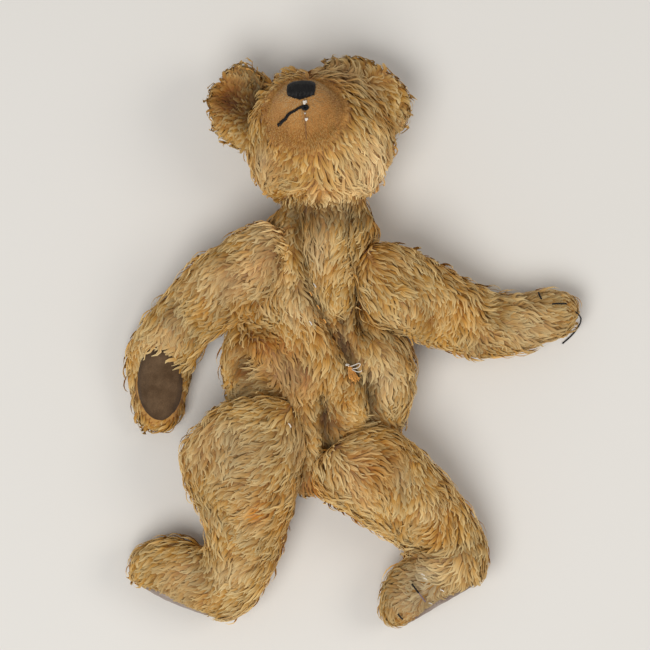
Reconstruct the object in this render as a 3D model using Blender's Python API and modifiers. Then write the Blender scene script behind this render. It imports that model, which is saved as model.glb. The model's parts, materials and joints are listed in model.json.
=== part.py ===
"""A jointed mohair teddy bear, half empty of its stuffing, lying on its back.

Frame: +Z up from the surface it lies on, +Y towards the head, +X towards the bear's left hand.
The origin is on that surface, under the middle of the laid-out bear.

Head, torso, arms and legs are six sewn covers, each filled with wood wool. The head and the limbs
hang on the torso by disc joints: a split pin through two cardboard discs, one on each side of the
two cloth walls, with a steel washer behind each disc.
"""

import math

import bmesh
import bpy
from mathutils import Matrix, Vector
from mathutils.bvhtree import BVHTree

MM = 0.001
# The tables below count from a point near the navel, in millimetres. The origin goes here, on the
# surface under the middle of the laid-out bear.
MIDDLE = Vector((4, -2, 0))

# Cloth and its fit, in millimetres. The cover's wall is the backing cloth with its crushed pile.
COVER_WALL = 3.0
FIT_GAP = 0.5
# The lumps of the filling stay this much inside the cover.
LUMP_GAP = 2.4
PAD_THICKNESS = 2.4
PAD_GAP = 0.4
SURFACE_GAP = 0.4

# One disc joint, in millimetres along its axis, counted from the plane where the two covers meet.
COVERS_APART = 1.0
DISC_THICKNESS = 3.0
WASHER_THICKNESS = 1.2
STACK_GAP = 0.4
WASHER_RADIUS = 7.0
PIN_WIRE_RADIUS = 0.8
PIN_LEG_OFFSET = 0.95
PIN_HOLE_RADIUS = 2.3
PIN_EYE_RADIUS = 3.2
PIN_CURL_RADIUS = 2.6
PIN_POCKET_RADIUS = 9.5
PIN_POCKET_DEPTH = 12.0

THREAD_RADIUS = 0.75

# A ring of eight cage points, subdivided, settles at this share of its own radius.
CAGE_SIDES = 8
SETTLED_SHARE = 0.92

# Where each joint's axis crosses the plane between the covers, the axis from the torso outwards,
# the radius of its discs, and the flat that the limb presses into the torso, in millimetres. The
# press widens outwards by its slope, so that the limb can be turned.
JOINTS = {
    "neck": {
        "point": (-23, 130, 56),
        "axis": (0.02, 0.95, -0.31),
        "disc": 16,
        "press": 42,
        "slope": 0.30,
    },
    "right_shoulder": {
        "point": (-71, 64, 52),
        "axis": (-0.64, 0.20, 0.74),
        "disc": 14,
        "press": 50,
        "slope": 0.44,
    },
    "left_shoulder": {
        "point": (19, 43, 54),
        "axis": (0.70, 0.20, 0.685),
        "disc": 13,
        "press": 42,
        "slope": 0.36,
    },
    "right_hip": {
        "point": (-75, -84, 37),
        "axis": (-0.41, -0.32, 0.855),
        "disc": 16,
        "press": 54,
        "slope": 0.30,
    },
    "left_hip": {
        "point": (5, -104, 42.5),
        "axis": (0.34, -0.35, 0.87),
        "disc": 15,
        "press": 54,
        "slope": 0.30,
    },
}

# Sections of each soft form, in millimetres. Each is the two edges of the section in plan, as
# (x, y, x, y), then the height of its middle and its half thickness.
TORSO = [
    (-50, -131, -24, -131, 20, 8),
    (-72, -124, 10, -127, 24, 21),
    (-96, -104, 34, -108, 30, 31),
    (-107, -72, 43, -76, 36, 38),
    (-113, -38, 52, -40, 41, 43),
    (-112, -4, 50, -6, 43, 45),
    (-102, 32, 37, 30, 43, 45),
    (-90, 66, 26, 64, 44, 46),
    (-77, 94, 18, 94, 49, 44),
    (-64, 114, 12, 114, 54, 39),
    (-56, 130, 7, 130, 57, 34),
    (-50, 144, 0, 144, 57, 30),
]
RIGHT_ARM = [
    (-69, 103, -56, 86, 66, 12),
    (-84, 104, -54, 63, 66, 25),
    (-105, 91, -65, 41, 62, 30),
    (-135, 62, -101, 19, 56, 28),
    (-158, 41, -126, 9, 44, 27),
    (-177, 18, -139, -10, 30, 25),
    (-193, -6, -146, -17, 25, 24),
    (-195, -36, -146, -36, 23, 23),
    (-190, -60, -151, -58, 20, 20),
    (-180, -75, -162, -74, 19, 10),
]
LEFT_ARM = [
    (7, 66, 6, 42, 68, 12),
    (14, 86, 12, 27, 67, 25),
    (36, 86, 29, 15, 63, 30),
    (61, 71, 52, 9, 52, 29),
    (91, 57, 80, 0, 39, 28),
    (116, 43, 110, -13, 29, 27),
    (140, 36, 144, -10, 25, 25),
    (165, 42, 172, 3, 24, 23),
    (186, 44, 192, 10, 21, 20),
    (200, 37, 203, 20, 20, 10),
]
RIGHT_LEG = [
    (-100, -54, -64, -52, 66, 12),
    (-124, -66, -47, -60, 64, 28),
    (-142, -90, -42, -84, 59, 37),
    (-144, -116, -45, -114, 50, 40),
    (-135, -143, -54, -144, 42, 40),
    (-125, -168, -64, -170, 37, 37),
    (-124, -183, -70, -197, 34, 35),
    (-127, -187, -84, -225, 32, 33),
    (-133, -184, -110, -249, 31, 33),
    (-150, -176, -139, -240, 30, 31),
    (-170, -176, -165, -230, 27, 28),
    (-187, -186, -185, -217, 25, 20),
    (-194, -194, -193, -210, 24, 10),
]
LEFT_LEG = [
    (-3, -85, -25, -105, 68, 12),
    (20, -77, -32, -121, 66, 27),
    (48, -84, -22, -137, 62, 36),
    (67, -106, 0, -151, 54, 39),
    (85, -132, 26, -166, 46, 39),
    (99, -152, 46, -177, 39, 37),
    (111, -176, 53, -185, 35, 35),
    (119, -199, 55, -190, 33, 34),
    (111, -219, 52, -194, 32, 33),
    (92, -229, 44, -199, 30, 31),
    (73, -242, 34, -212, 28, 28),
    (56, -251, 29, -232, 25, 22),
    (47, -253, 31, -243, 24, 11),
]

# The head's sections run from the back of the head to the nose, along the way the face looks:
# distance, how far the centre drops towards the chin, half width and half height.
HEAD_CENTRE = (-29, 178, 59)
HEAD_CROWN = (0.06, 0.86, -0.50)
FACE_LOOKS = (-0.165, 0.51, 0.85)
HEAD = [
    (-58, 0, 17, 16),
    (-51, 0, 39, 38),
    (-27, 0, 58, 57),
    (-2, 2, 64, 63),
    (18, 5, 60, 59),
    (33, 9, 49, 46),
    (43, 11, 39, 36),
    (58, 12, 34, 31),
    (75, 12, 29, 27),
    (86, 11, 21, 19),
    (90, 11, 11, 10),
]
# The head is wider at the ears than at the jaw by this share of its half width.
HEAD_TAPER = 0.10

# The soles are flat: a point on each sole and the way it faces, in millimetres.
SOLES = {
    "right_foot_pad": {"point": (-150, -230, 30), "faces": (-0.40, -0.91, 0.06)},
    "left_foot_pad": {"point": (82, -227, 30), "faces": (0.50, -0.865, 0.04)},
}
# The paw pads are let into the palms. Each is an ellipse in plan, through one face of the paw:
# centre, half length along x and y, and the heights that it is cut between, in millimetres.
PALMS = {
    "right_paw_pad": {"centre": (-170, -36), "half": (19.5, 33), "heights": (24, 60)},
    "left_paw_pad": {"centre": (163, 21), "half": (28, 16), "heights": (-10, 22)},
}

# The ears are half discs: the middle of the sewn edge, the way each stands out and the way it faces.
EAR_RADIUS = 37
EAR_HALF_THICKNESS = 6.5
EAR_CUP = 9
EARS = {
    "right_ear": {"seat": (-87, 205, 60), "out": (-1, 0.06, 0.05), "faces": (-0.05, 0.3, 1)},
    "left_ear": {"seat": (10, 208, 54), "out": (0.72, 0.56, -0.42), "faces": (0.25, 0.50, 1)},
}

NOSE_WIDTH = 25
NOSE_HEIGHT = 14
NOSE_THICKNESS = 1.8
# How far the middle of the nose is above the middle of the snout's tip.
NOSE_RISE = 8

COLOURS = {
    "mohair": ((0.60, 0.40, 0.17, 1), 0.9, 0.0),
    "wood_wool": ((0.62, 0.50, 0.30, 1), 0.9, 0.0),
    "cardboard": ((0.42, 0.30, 0.18, 1), 0.8, 0.0),
    "steel": ((0.45, 0.44, 0.42, 1), 0.45, 1.0),
    "brown_felt": ((0.10, 0.055, 0.030, 1), 0.95, 0.0),
    "grey_felt": ((0.33, 0.25, 0.19, 1), 0.95, 0.0),
    "black_floss": ((0.012, 0.011, 0.010, 1), 0.6, 0.0),
    "mending_thread": ((0.75, 0.42, 0.10, 1), 0.6, 0.0),
}


def clear_scene():
    for obj in list(bpy.data.objects):
        bpy.data.objects.remove(obj, do_unlink=True)


def new_collection(name):
    collection = bpy.data.collections.new(name)
    bpy.context.scene.collection.children.link(collection)
    return collection


def material(name):
    """The named finish, made once."""
    found = bpy.data.materials.get(name)
    if found:
        return found
    colour, roughness, metallic = COLOURS[name]
    made = bpy.data.materials.new(name)
    made.use_nodes = True
    shader = made.node_tree.nodes["Principled BSDF"]
    shader.inputs["Base Color"].default_value = colour
    shader.inputs["Roughness"].default_value = roughness
    shader.inputs["Metallic"].default_value = metallic
    return made


def scaled(point):
    """A point of the tables, in metres from the origin."""
    return (Vector(point) - MIDDLE) * MM


def add_object(name, mesh, finish, parent=None):
    """A node of the bear: world-space mesh, carried by its joint's empty."""
    obj = bpy.data.objects.new(name, mesh)
    mesh.name = name
    mesh.materials.clear()
    mesh.materials.append(material(finish))
    mesh.shade_smooth()
    mesh.set_sharp_from_angle(angle=math.radians(45))
    bear.objects.link(obj)
    if parent:
        obj.parent = parent
        obj.matrix_parent_inverse = parent.matrix_world.inverted()
    return obj


def add_helper(name, mesh):
    """A cutter or guide that the finished bear doesn't show."""
    obj = bpy.data.objects.new(name, mesh)
    mesh.name = name
    obj.hide_render = True
    obj.display_type = "WIRE"
    helpers.objects.link(obj)
    return obj


def boolean(obj, other, operation="DIFFERENCE"):
    """Adds an exact Boolean with another mesh object."""
    modifier = obj.modifiers.new(f"{operation.lower()}_{other.name}", "BOOLEAN")
    modifier.operation = operation
    modifier.solver = "EXACT"
    modifier.object = other


def evaluated_mesh(obj):
    """A plain mesh of the object with its modifiers, in its own space."""
    bpy.context.view_layer.update()
    graph = bpy.context.evaluated_depsgraph_get()
    return bpy.data.meshes.new_from_object(obj.evaluated_get(graph))


# Soft forms


def cage(rings):
    """A closed cage of rings of points, with a cap on each end."""
    bm = bmesh.new()
    loops = [[bm.verts.new(point) for point in ring] for ring in rings]
    for first, second in zip(loops, loops[1:]):
        for i in range(CAGE_SIDES):
            j = (i + 1) % CAGE_SIDES
            bm.faces.new((first[i], first[j], second[j], second[i]))
    bm.faces.new(list(reversed(loops[0])))
    bm.faces.new(loops[-1])
    bmesh.ops.recalc_face_normals(bm, faces=bm.faces)
    mesh = bpy.data.meshes.new("cage")
    bm.to_mesh(mesh)
    bm.free()
    return mesh


def ring(centre, across, up, half_width, half_height, taper=0.0):
    """Cage points of an oval section. With a taper it is wider towards up."""
    points = []
    for i in range(CAGE_SIDES):
        angle = 2 * math.pi * (i + 0.5) / CAGE_SIDES
        wide = half_width * math.cos(angle) * (1 + taper * math.sin(angle))
        high = half_height * math.sin(angle)
        points.append(centre + (across * wide + up * high) * (MM / SETTLED_SHARE))
    return points


def plan_rings(sections):
    """Upright rings between the two edges of each section."""
    rings = []
    for left_x, left_y, right_x, right_y, height, half_height in sections:
        left, right = scaled((left_x, left_y, height)), scaled((right_x, right_y, height))
        across = right - left
        half_width = across.length / 2 / MM
        middle = (left + right) / 2
        rings.append(ring(middle, across.normalized(), Vector((0, 0, 1)), half_width, half_height))
    return rings


def head_axes():
    """The head's own right-handed axes: across the face, towards the crown, and the way it looks."""
    looks = Vector(FACE_LOOKS).normalized()
    crown = Vector(HEAD_CROWN)
    crown = (crown - looks * looks.dot(crown)).normalized()
    return crown.cross(looks), crown, looks


def head_rings():
    across, crown, looks = head_axes()
    middle = scaled(HEAD_CENTRE)
    rings = []
    for distance, drop, half_width, half_height in HEAD:
        centre = middle + looks * (distance * MM) - crown * (drop * MM)
        rings.append(ring(centre, across, crown, half_width, half_height, HEAD_TAPER))
    return rings


def soft_form(name, rings):
    """The smooth closed form that a cover's outside follows, as a helper object."""
    obj = add_helper(name + "_cage", cage(rings))
    modifier = obj.modifiers.new("smooth", "SUBSURF")
    modifier.levels = modifier.render_levels = 1
    form = add_helper(name + "_form", evaluated_mesh(obj))
    bpy.data.objects.remove(obj)
    return form


def lumpy_form(form):
    """The filling's coarser form: the same shape with fewer faces, since wood wool settles in lumps."""
    modifier = form.modifiers.new("settle", "DECIMATE")
    modifier.decimate_type = "UNSUBDIV"
    modifier.iterations = 2
    lumpy = add_helper(form.name + "_lumpy", evaluated_mesh(form))
    form.modifiers.remove(modifier)
    return lumpy


def inset_form(form, inset, planes=()):
    """A copy of the form, moved in by inset and cut flat by planes, all in metres.

    A plane is (point, outward normal, how far behind the point it cuts)."""
    bm = bmesh.new()
    bm.from_mesh(form.data)
    bm.normal_update()
    moved = [vert.co - vert.normal * inset for vert in bm.verts]
    for vert, place in zip(bm.verts, moved):
        vert.co = place
    for point, normal, plane_inset in planes:
        bmesh.ops.bisect_plane(
            bm,
            geom=bm.verts[:] + bm.edges[:] + bm.faces[:],
            plane_co=point - normal * plane_inset,
            plane_no=normal,
            clear_outer=True,
            dist=1e-6,
        )
        rim = [edge for edge in bm.edges if edge.is_boundary]
        if rim:
            bmesh.ops.contextual_create(bm, geom=rim)
    bmesh.ops.recalc_face_normals(bm, faces=bm.faces)
    mesh = bpy.data.meshes.new(form.name + "_cut")
    bm.to_mesh(mesh)
    bm.free()
    return mesh


def welded(mesh):
    """Merges points that coincide after a cut."""
    bm = bmesh.new()
    bm.from_mesh(mesh)
    bmesh.ops.remove_doubles(bm, verts=bm.verts, dist=2e-5)
    bmesh.ops.dissolve_degenerate(bm, edges=bm.edges, dist=1e-6)
    bmesh.ops.recalc_face_normals(bm, faces=bm.faces)
    bm.to_mesh(mesh)
    bm.free()
    return mesh


def cut_mesh(name, mesh, cutters, operation="DIFFERENCE"):
    """The mesh after each cutter in turn, welded after each."""
    for number, cutter in enumerate(cutters):
        blank = add_helper(f"{name}_blank_{number}", mesh)
        boolean(blank, cutter, operation)
        mesh = welded(evaluated_mesh(blank))
        bpy.data.objects.remove(blank)
    return mesh


# Joints


def joint_axis(name):
    return Vector(JOINTS[name]["axis"]).normalized()


def joint_empty(name):
    """An empty on the joint, its Z along the axis from the torso outwards."""
    empty = bpy.data.objects.new(name + "_joint", None)
    empty.empty_display_size = 0.02
    turn = joint_axis(name).to_track_quat("Z", "Y").to_matrix().to_4x4()
    empty.matrix_world = Matrix.Translation(scaled(JOINTS[name]["point"])) @ turn
    bear.objects.link(empty)
    bpy.context.view_layer.update()
    return empty


def cylinder_mesh(radius, start, end, sides=24):
    """A closed cylinder along Z between two heights, in millimetres."""
    bm = bmesh.new()
    middle = Matrix.Translation((0, 0, (start + end) / 2 * MM))
    bmesh.ops.create_cone(
        bm,
        cap_ends=True,
        segments=sides,
        radius1=radius * MM,
        radius2=radius * MM,
        depth=abs(end - start) * MM,
        matrix=middle,
    )
    mesh = bpy.data.meshes.new("cylinder")
    bm.to_mesh(mesh)
    bm.free()
    return mesh


def on_joint(mesh, empty):
    """Moves a mesh modelled about the origin to the joint."""
    mesh.transform(empty.matrix_world)
    return mesh


def pierced_plate(name, radius, start, end, finish, empty, sides):
    """A disc or washer with the pin's hole, on a joint. The ones inside the torso stay with it."""
    carrier = empty if start > 0 else None
    plate = add_object(name, on_joint(cylinder_mesh(radius, start, end, sides), empty), finish, carrier)
    boolean(plate, hole_cutter(name + "_hole", PIN_HOLE_RADIUS, start - 2, end + 2, empty))
    return plate


def hole_cutter(name, radius, start, end, empty, sides=12):
    return add_helper(name, on_joint(cylinder_mesh(radius, start, end, sides), empty))


def stack_heights():
    """Where the disc and washer begin and end, outwards from the plane between the covers."""
    disc = COVERS_APART / 2 + COVER_WALL + STACK_GAP
    washer = disc + DISC_THICKNESS + STACK_GAP
    behind = washer + WASHER_THICKNESS + STACK_GAP
    return disc, washer, behind


def joint_hardware(name, empty):
    """Two discs, two washers and the split pin of one joint."""
    disc, washer, _ = stack_heights()
    radius = JOINTS[name]["disc"]
    for side, sign in (("inner", -1), ("outer", 1)):
        low, high = sorted((sign * disc, sign * (disc + DISC_THICKNESS)))
        pierced_plate(f"{name}_{side}_disc", radius, low, high, "cardboard", empty, 24)
        low, high = sorted((sign * washer, sign * (washer + WASHER_THICKNESS)))
        pierced_plate(f"{name}_{side}_washer", WASHER_RADIUS, low, high, "steel", empty, 16)
    split_pin(name + "_pin", empty)


def split_pin(name, empty):
    """One wire: a curled leg, up through the joint, round the eye, back down and curled again."""
    _, _, behind = stack_heights()
    rise = behind + PIN_WIRE_RADIUS
    eye_centre = rise + PIN_EYE_RADIUS
    half = []
    for i in range(5):
        angle = math.radians(200 * (1 - i / 4))
        bend = PIN_CURL_RADIUS
        half.append((PIN_LEG_OFFSET + bend - bend * math.cos(angle), -rise - bend * math.sin(angle)))
    half.append((PIN_LEG_OFFSET, 0.0))
    half.append((PIN_LEG_OFFSET, rise - 1.0))
    open_angle = math.asin(PIN_LEG_OFFSET / PIN_EYE_RADIUS) * 1.6
    for i in range(5):
        angle = open_angle + (math.pi - open_angle) * i / 5
        half.append((PIN_EYE_RADIUS * math.sin(angle), eye_centre - PIN_EYE_RADIUS * math.cos(angle)))
    top = (0.0, eye_centre + PIN_EYE_RADIUS)
    other = [(-x, z) for x, z in reversed(half)]
    points = [Vector((x, 0, z)) * MM for x, z in half + [top] + other]
    tube = tube_mesh(name, points, PIN_WIRE_RADIUS, 1)
    add_object(name, on_joint(tube, empty), "steel", empty)


def tube_mesh(name, points, radius, resolution=2):
    """A closed tube along points in metres, its radius in millimetres."""
    curve = bpy.data.curves.new(name, "CURVE")
    curve.dimensions = "3D"
    curve.bevel_depth = radius * MM
    curve.bevel_resolution = resolution
    curve.use_fill_caps = True
    spline = curve.splines.new("POLY")
    spline.points.add(len(points) - 1)
    for place, point in zip(spline.points, points):
        place.co = (*point, 1)
    obj = bpy.data.objects.new(name, curve)
    helpers.objects.link(obj)
    mesh = evaluated_mesh(obj)
    bpy.data.objects.remove(obj)
    bm = bmesh.new()
    bm.from_mesh(mesh)
    bmesh.ops.remove_doubles(bm, verts=bm.verts, dist=1e-6)
    bmesh.ops.recalc_face_normals(bm, faces=bm.faces)
    bm.to_mesh(mesh)
    bm.free()
    return mesh


# Sewn bags


def press_cutter(joint, inset, empty):
    """The room that a turning limb presses into the torso: a shallow dish, inset millimetres deeper."""
    slope = JOINTS[joint]["slope"]
    flat_radius = JOINTS[joint]["press"] + inset * (math.hypot(1, slope) - 1) / slope
    start = -COVERS_APART / 2 - inset
    height = 110
    bm = bmesh.new()
    bmesh.ops.create_cone(
        bm,
        cap_ends=True,
        segments=28,
        radius1=flat_radius * MM,
        radius2=(flat_radius + height / slope) * MM,
        depth=height * MM,
        matrix=Matrix.Translation((0, 0, (start + height / 2) * MM)),
    )
    mesh = bpy.data.meshes.new("press")
    bm.to_mesh(mesh)
    bm.free()
    return add_helper(f"{joint}_press_{inset:.1f}", on_joint(mesh, empty))


def torso_layer(name, form, inset, floor_inset):
    """The torso's form moved in by inset millimetres, flat where it lies and pressed at its joints."""
    mesh = inset_form(form, inset * MM, [(Vector((0, 0, 0)), Vector((0, 0, -1)), floor_inset * MM)])
    presses = [press_cutter(joint, inset, empties[joint]) for joint in JOINTS]
    return cut_mesh(name, mesh, presses)


def limb_layer(form, inset, joint, sole=None, sole_inset=0.0):
    """A limb's or the head's form, moved in by inset millimetres and flat at its joint, floor and sole."""
    normal = -joint_axis(joint)
    point = scaled(JOINTS[joint]["point"]) - normal * (COVERS_APART / 2 * MM)
    planes = [(point, normal, inset * MM), (Vector((0, 0, 0)), Vector((0, 0, -1)), inset * MM)]
    if sole:
        faces = Vector(SOLES[sole]["faces"]).normalized()
        planes.append((scaled(SOLES[sole]["point"]), faces, sole_inset * MM))
    return inset_form(form, inset * MM, planes)


def joint_room(name, joint, outward, cover, filling):
    """The pin's hole in a cover, and the pockets for disc, washer and pin in its filling."""
    empty = empties[joint]
    _, washer, behind = stack_heights()
    deep = -outward * (washer + WASHER_THICKNESS + FIT_GAP)
    ends = sorted((0, -outward * (COVER_WALL + 4)))
    boolean(cover, hole_cutter(f"{name}_{joint}_hole", PIN_HOLE_RADIUS, *ends, empty))
    ends = sorted((outward * 5, deep))
    radius = JOINTS[joint]["disc"] + FIT_GAP
    boolean(filling, hole_cutter(f"{name}_{joint}_disc_pocket", radius, *ends, empty, 28))
    ends = sorted((deep * 0.8, -outward * (behind + PIN_POCKET_DEPTH)))
    boolean(filling, hole_cutter(f"{name}_{joint}_pin_pocket", PIN_POCKET_RADIUS, *ends, empty))


def torso_bag(form):
    """The torso's cover and what is left of its filling."""
    cover = add_object("torso_cover", torso_layer("torso", form, 0, 0), "mohair")
    cavity = torso_layer("torso", form, COVER_WALL, COVER_WALL)
    boolean(cover, add_helper("torso_cavity", cavity))
    fill = COVER_WALL + LUMP_GAP
    filling_mesh = torso_layer("torso", lumpy_form(form), fill, fill)
    filling = add_object("torso_stuffing", filling_mesh, "wood_wool")
    for joint in JOINTS:
        joint_room("torso", joint, 1, cover, filling)


def limb_bag(name, form, joint, sole=None, palm=None):
    """A cover with its filling and its felt pad, carried by its joint."""
    empty = empties[joint]
    fill = COVER_WALL + LUMP_GAP
    cover = add_object(name + "_cover", limb_layer(form, 0, joint, sole), "mohair", empty)
    # A sole is open all over, so the cavity runs out through it.
    cavity = limb_layer(form, COVER_WALL, joint)
    boolean(cover, add_helper(name + "_cavity", cavity))
    filling_mesh = limb_layer(lumpy_form(form), fill, joint, sole, PAD_THICKNESS + LUMP_GAP)
    filling = add_object(name + "_stuffing", filling_mesh, "wood_wool", empty)
    if sole:
        sole_pad(sole, form, joint)
    if palm:
        boolean(cover, palm_window(palm, PAD_GAP))
        palm_pad(palm, form, joint)
    joint_room(name, joint, -1, cover, filling)


def sole_pad(name, form, joint):
    """The felt sole: a flat plate that closes the cover's open foot."""
    point, normal = scaled(SOLES[name]["point"]), Vector(SOLES[name]["faces"]).normalized()
    inset = (COVER_WALL + PAD_GAP) * MM
    floor = (Vector((0, 0, 0)), Vector((0, 0, -1)), inset)
    planes = [(point, normal, 0), (point, -normal, -PAD_THICKNESS * MM), floor]
    add_object(name, inset_form(form, inset, planes), "grey_felt", empties[joint])


def palm_window(name, margin):
    """The ellipse cut through the palm, margin millimetres larger all round than its pad."""
    palm = PALMS[name]
    low, high = palm["heights"]
    mesh = cylinder_mesh(1, low - margin, high + margin, 28)
    half_x, half_y = palm["half"]
    mesh.transform(Matrix.Diagonal((half_x + margin, half_y + margin, 1, 1)))
    mesh.transform(Matrix.Translation(scaled((*palm["centre"], 0))))
    return add_helper(f"{name}_window_{margin:.1f}", mesh)


def palm_pad(name, form, joint):
    """The felt palm: a patch as curved as the paw, let into the cover's window."""
    shell = limb_layer(form, 0, joint)
    core = add_helper(name + "_core", limb_layer(form, PAD_THICKNESS, joint))
    patch = cut_mesh(name, shell, [palm_window(name, 0)], "INTERSECT")
    patch = cut_mesh(name, patch, [core])
    add_object(name, patch, "brown_felt", empties[joint])


# Head trimmings


def ear(name, head_form, empty):
    """A half-round cupped ear, cut to sit on the side of the head."""
    place = EARS[name]
    out = Vector(place["out"]).normalized()
    faces = Vector(place["faces"])
    faces = (faces - out * faces.dot(out)).normalized()
    mesh = ellipsoid(EAR_RADIUS, EAR_RADIUS, EAR_HALF_THICKNESS)
    for vert in mesh.vertices:
        vert.co.z += EAR_CUP * MM * (vert.co.xy.length / (EAR_RADIUS * MM)) ** 2
    axes = Matrix((out.cross(faces), out, faces)).transposed().to_4x4()
    mesh.transform(Matrix.Translation(scaled(place["seat"])) @ axes)
    obj = add_object(name, mesh, "mohair", empty)
    boolean(obj, add_helper(name + "_seat", inset_form(head_form, -SURFACE_GAP * MM)))


def ellipsoid(half_x, half_y, half_z):
    bm = bmesh.new()
    bmesh.ops.create_uvsphere(bm, u_segments=20, v_segments=10, radius=MM)
    bmesh.ops.scale(bm, vec=(half_x, half_y, half_z), verts=bm.verts)
    mesh = bpy.data.meshes.new("ellipsoid")
    bm.to_mesh(mesh)
    bm.free()
    return mesh


def snout_tip():
    """The middle of the snout's end."""
    _, crown, looks = head_axes()
    distance, drop = HEAD[-1][:2]
    return scaled(HEAD_CENTRE) + looks * (distance * MM) - crown * (drop * MM)


def nose(head_form, empty):
    """The block of nose stitches: a layer over the snout's tip, with rounded corners."""
    across, crown, looks = head_axes()
    outline = bpy.data.curves.new("nose_outline", "CURVE")
    outline.dimensions = "2D"
    outline.fill_mode = "BOTH"
    outline.extrude = 20 * MM
    corner = 4.0
    points = []
    for start, (x, y) in enumerate(((1, 1), (-1, 1), (-1, -1), (1, -1))):
        for step in range(4):
            angle = math.radians(90 * start + 30 * step)
            points.append(
                (
                    x * (NOSE_WIDTH / 2 - corner) + corner * math.cos(angle),
                    y * (NOSE_HEIGHT / 2 - corner) + corner * math.sin(angle),
                )
            )
    spline = outline.splines.new("POLY")
    spline.points.add(len(points) - 1)
    for place, (x, y) in zip(spline.points, points):
        place.co = (x * MM, y * MM, 0, 1)
    spline.use_cyclic_u = True
    prism = bpy.data.objects.new("nose_prism", outline)
    helpers.objects.link(prism)
    mesh = evaluated_mesh(prism)
    bpy.data.objects.remove(prism)
    bm = bmesh.new()
    bm.from_mesh(mesh)
    bmesh.ops.remove_doubles(bm, verts=bm.verts, dist=1e-6)
    bmesh.ops.recalc_face_normals(bm, faces=bm.faces)
    bm.to_mesh(mesh)
    bm.free()
    facing = (looks * 0.85 + crown * 0.5).normalized()
    upward = (crown - facing * crown.dot(facing)).normalized()
    axes = Matrix((upward.cross(facing), upward, facing)).transposed().to_4x4()
    mesh.transform(Matrix.Translation(snout_tip() + crown * (NOSE_RISE * MM)) @ axes)
    obj = add_object("nose_stitching", mesh, "black_floss", empty)
    top = SURFACE_GAP + NOSE_THICKNESS
    boolean(obj, add_helper("nose_outside", inset_form(head_form, -top * MM)), "INTERSECT")
    boolean(obj, add_helper("nose_inside", inset_form(head_form, -SURFACE_GAP * MM)))


# Threads


def draped(surface, points, towards, lift):
    """Points carried along towards until they meet the surface, then raised off it by lift millimetres."""
    tree = BVHTree.FromPolygons(
        [vert.co.copy() for vert in surface.vertices],
        [tuple(face.vertices) for face in surface.polygons],
    )
    laid = []
    for point in points:
        hit, normal, _, _ = tree.ray_cast(point, towards)
        laid.append(hit + normal * (lift * MM))
    return laid


def spread_along(points, step):
    """Points a step apart along a polyline, in millimetres, with its corners kept."""
    spaced = [points[0]]
    for first, second in zip(points, points[1:]):
        pieces = max(1, round((second - first).length / (step * MM)))
        spaced += [first.lerp(second, (i + 1) / pieces) for i in range(pieces)]
    return spaced


def stitch(name, cover, route, finish):
    """A thread laid on a cover along a route seen from above, in millimetres."""
    surface = bpy.data.objects[cover]
    above = spread_along([scaled((x, y, 300)) for x, y in route], 4)
    line = draped(surface.data, above, Vector((0, 0, -1)), SURFACE_GAP + THREAD_RADIUS + 0.3)
    add_object(name, tube_mesh(name, line, THREAD_RADIUS), finish, surface.parent)


# Stitches: the cover that each lies on, its floss, and its corners seen from above, in millimetres.
STITCHES = {
    "mouth_thread": ("head_cover", "black_floss", [(-44, 207), (-51, 202), (-57, 198), (-65, 191)]),
    "left_paw_claw_1": ("left_arm_cover", "black_floss", [(166, 36), (168, 40)]),
    "left_paw_claw_2": ("left_arm_cover", "black_floss", [(179, 34), (190, 35)]),
    "left_foot_claw_1": ("left_leg_cover", "black_floss", [(54, -214), (59, -221), (64, -227)]),
    "left_foot_claw_2": ("left_leg_cover", "black_floss", [(41, -238), (45, -243)]),
    "upper_mending_thread": ("torso_cover", "mending_thread", [(-37, 46), (-33, 36)]),
    "lower_mending_thread": ("torso_cover", "mending_thread", [(-2, -19), (3, -32)]),
}

# The claw thread that has come loose from the left paw, from the paw's tip down on to the surface.
LOOSE_THREAD = [
    (197.5, 28.0, 34.5),
    (201.5, 25.5, 30.5),
    (204.5, 22.0, 24.0),
    (205.0, 18.5, 16.5),
    (204.0, 15.0, 9.5),
    (202.3, 12.0, 4.0),
    (200.3, 9.0, 1.4),
    (197.8, 6.0, 1.1),
    (194.8, 3.2, 1.1),
    (191.8, 0.6, 1.1),
    (189.6, -1.3, 1.1),
]


clear_scene()
bear = new_collection("teddy_bear")
helpers = new_collection("cutters")
empties = {name: joint_empty(name) for name in JOINTS}

torso_form = soft_form("torso", plan_rings(TORSO))
head_form = soft_form("head", head_rings())
arm_forms = {"right_arm": plan_rings(RIGHT_ARM), "left_arm": plan_rings(LEFT_ARM)}
leg_forms = {"right_leg": plan_rings(RIGHT_LEG), "left_leg": plan_rings(LEFT_LEG)}
torso_bag(torso_form)
limb_bag("head", head_form, "neck")
for limb, rings in arm_forms.items():
    side = limb.split("_")[0]
    arm_forms[limb] = soft_form(limb, rings)
    limb_bag(limb, arm_forms[limb], side + "_shoulder", palm=side + "_paw_pad")
for limb, rings in leg_forms.items():
    side = limb.split("_")[0]
    leg_forms[limb] = soft_form(limb, rings)
    limb_bag(limb, leg_forms[limb], side + "_hip", sole=side + "_foot_pad")
for joint in JOINTS:
    joint_hardware(joint, empties[joint])
for name in EARS:
    ear(name, head_form, empties["neck"])
nose(head_form, empties["neck"])
for name, (cover, finish, route) in STITCHES.items():
    stitch(name, cover, route, finish)
loose = tube_mesh("left_paw_loose_thread", [scaled(point) for point in LOOSE_THREAD], THREAD_RADIUS)
add_object("left_paw_loose_thread", loose, "black_floss", empties["left_shoulder"])
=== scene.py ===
# %% [markdown]
# # A threadbare mohair teddy bear
#
# This bear is six sewn bags of mohair cloth, stuffed with wood wool and hung together on disc joints.
# Most of what the eye meets is pile: crimped locks of goat hair that lie over each other in swirls.
# The frame brings the bear's solid parts, each in its true place. Here the covers get soft skins and
# the skins get their pile, then come the face, the felt pads and the threads.

# %% Open the frame
import heapq
import json
import math

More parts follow.
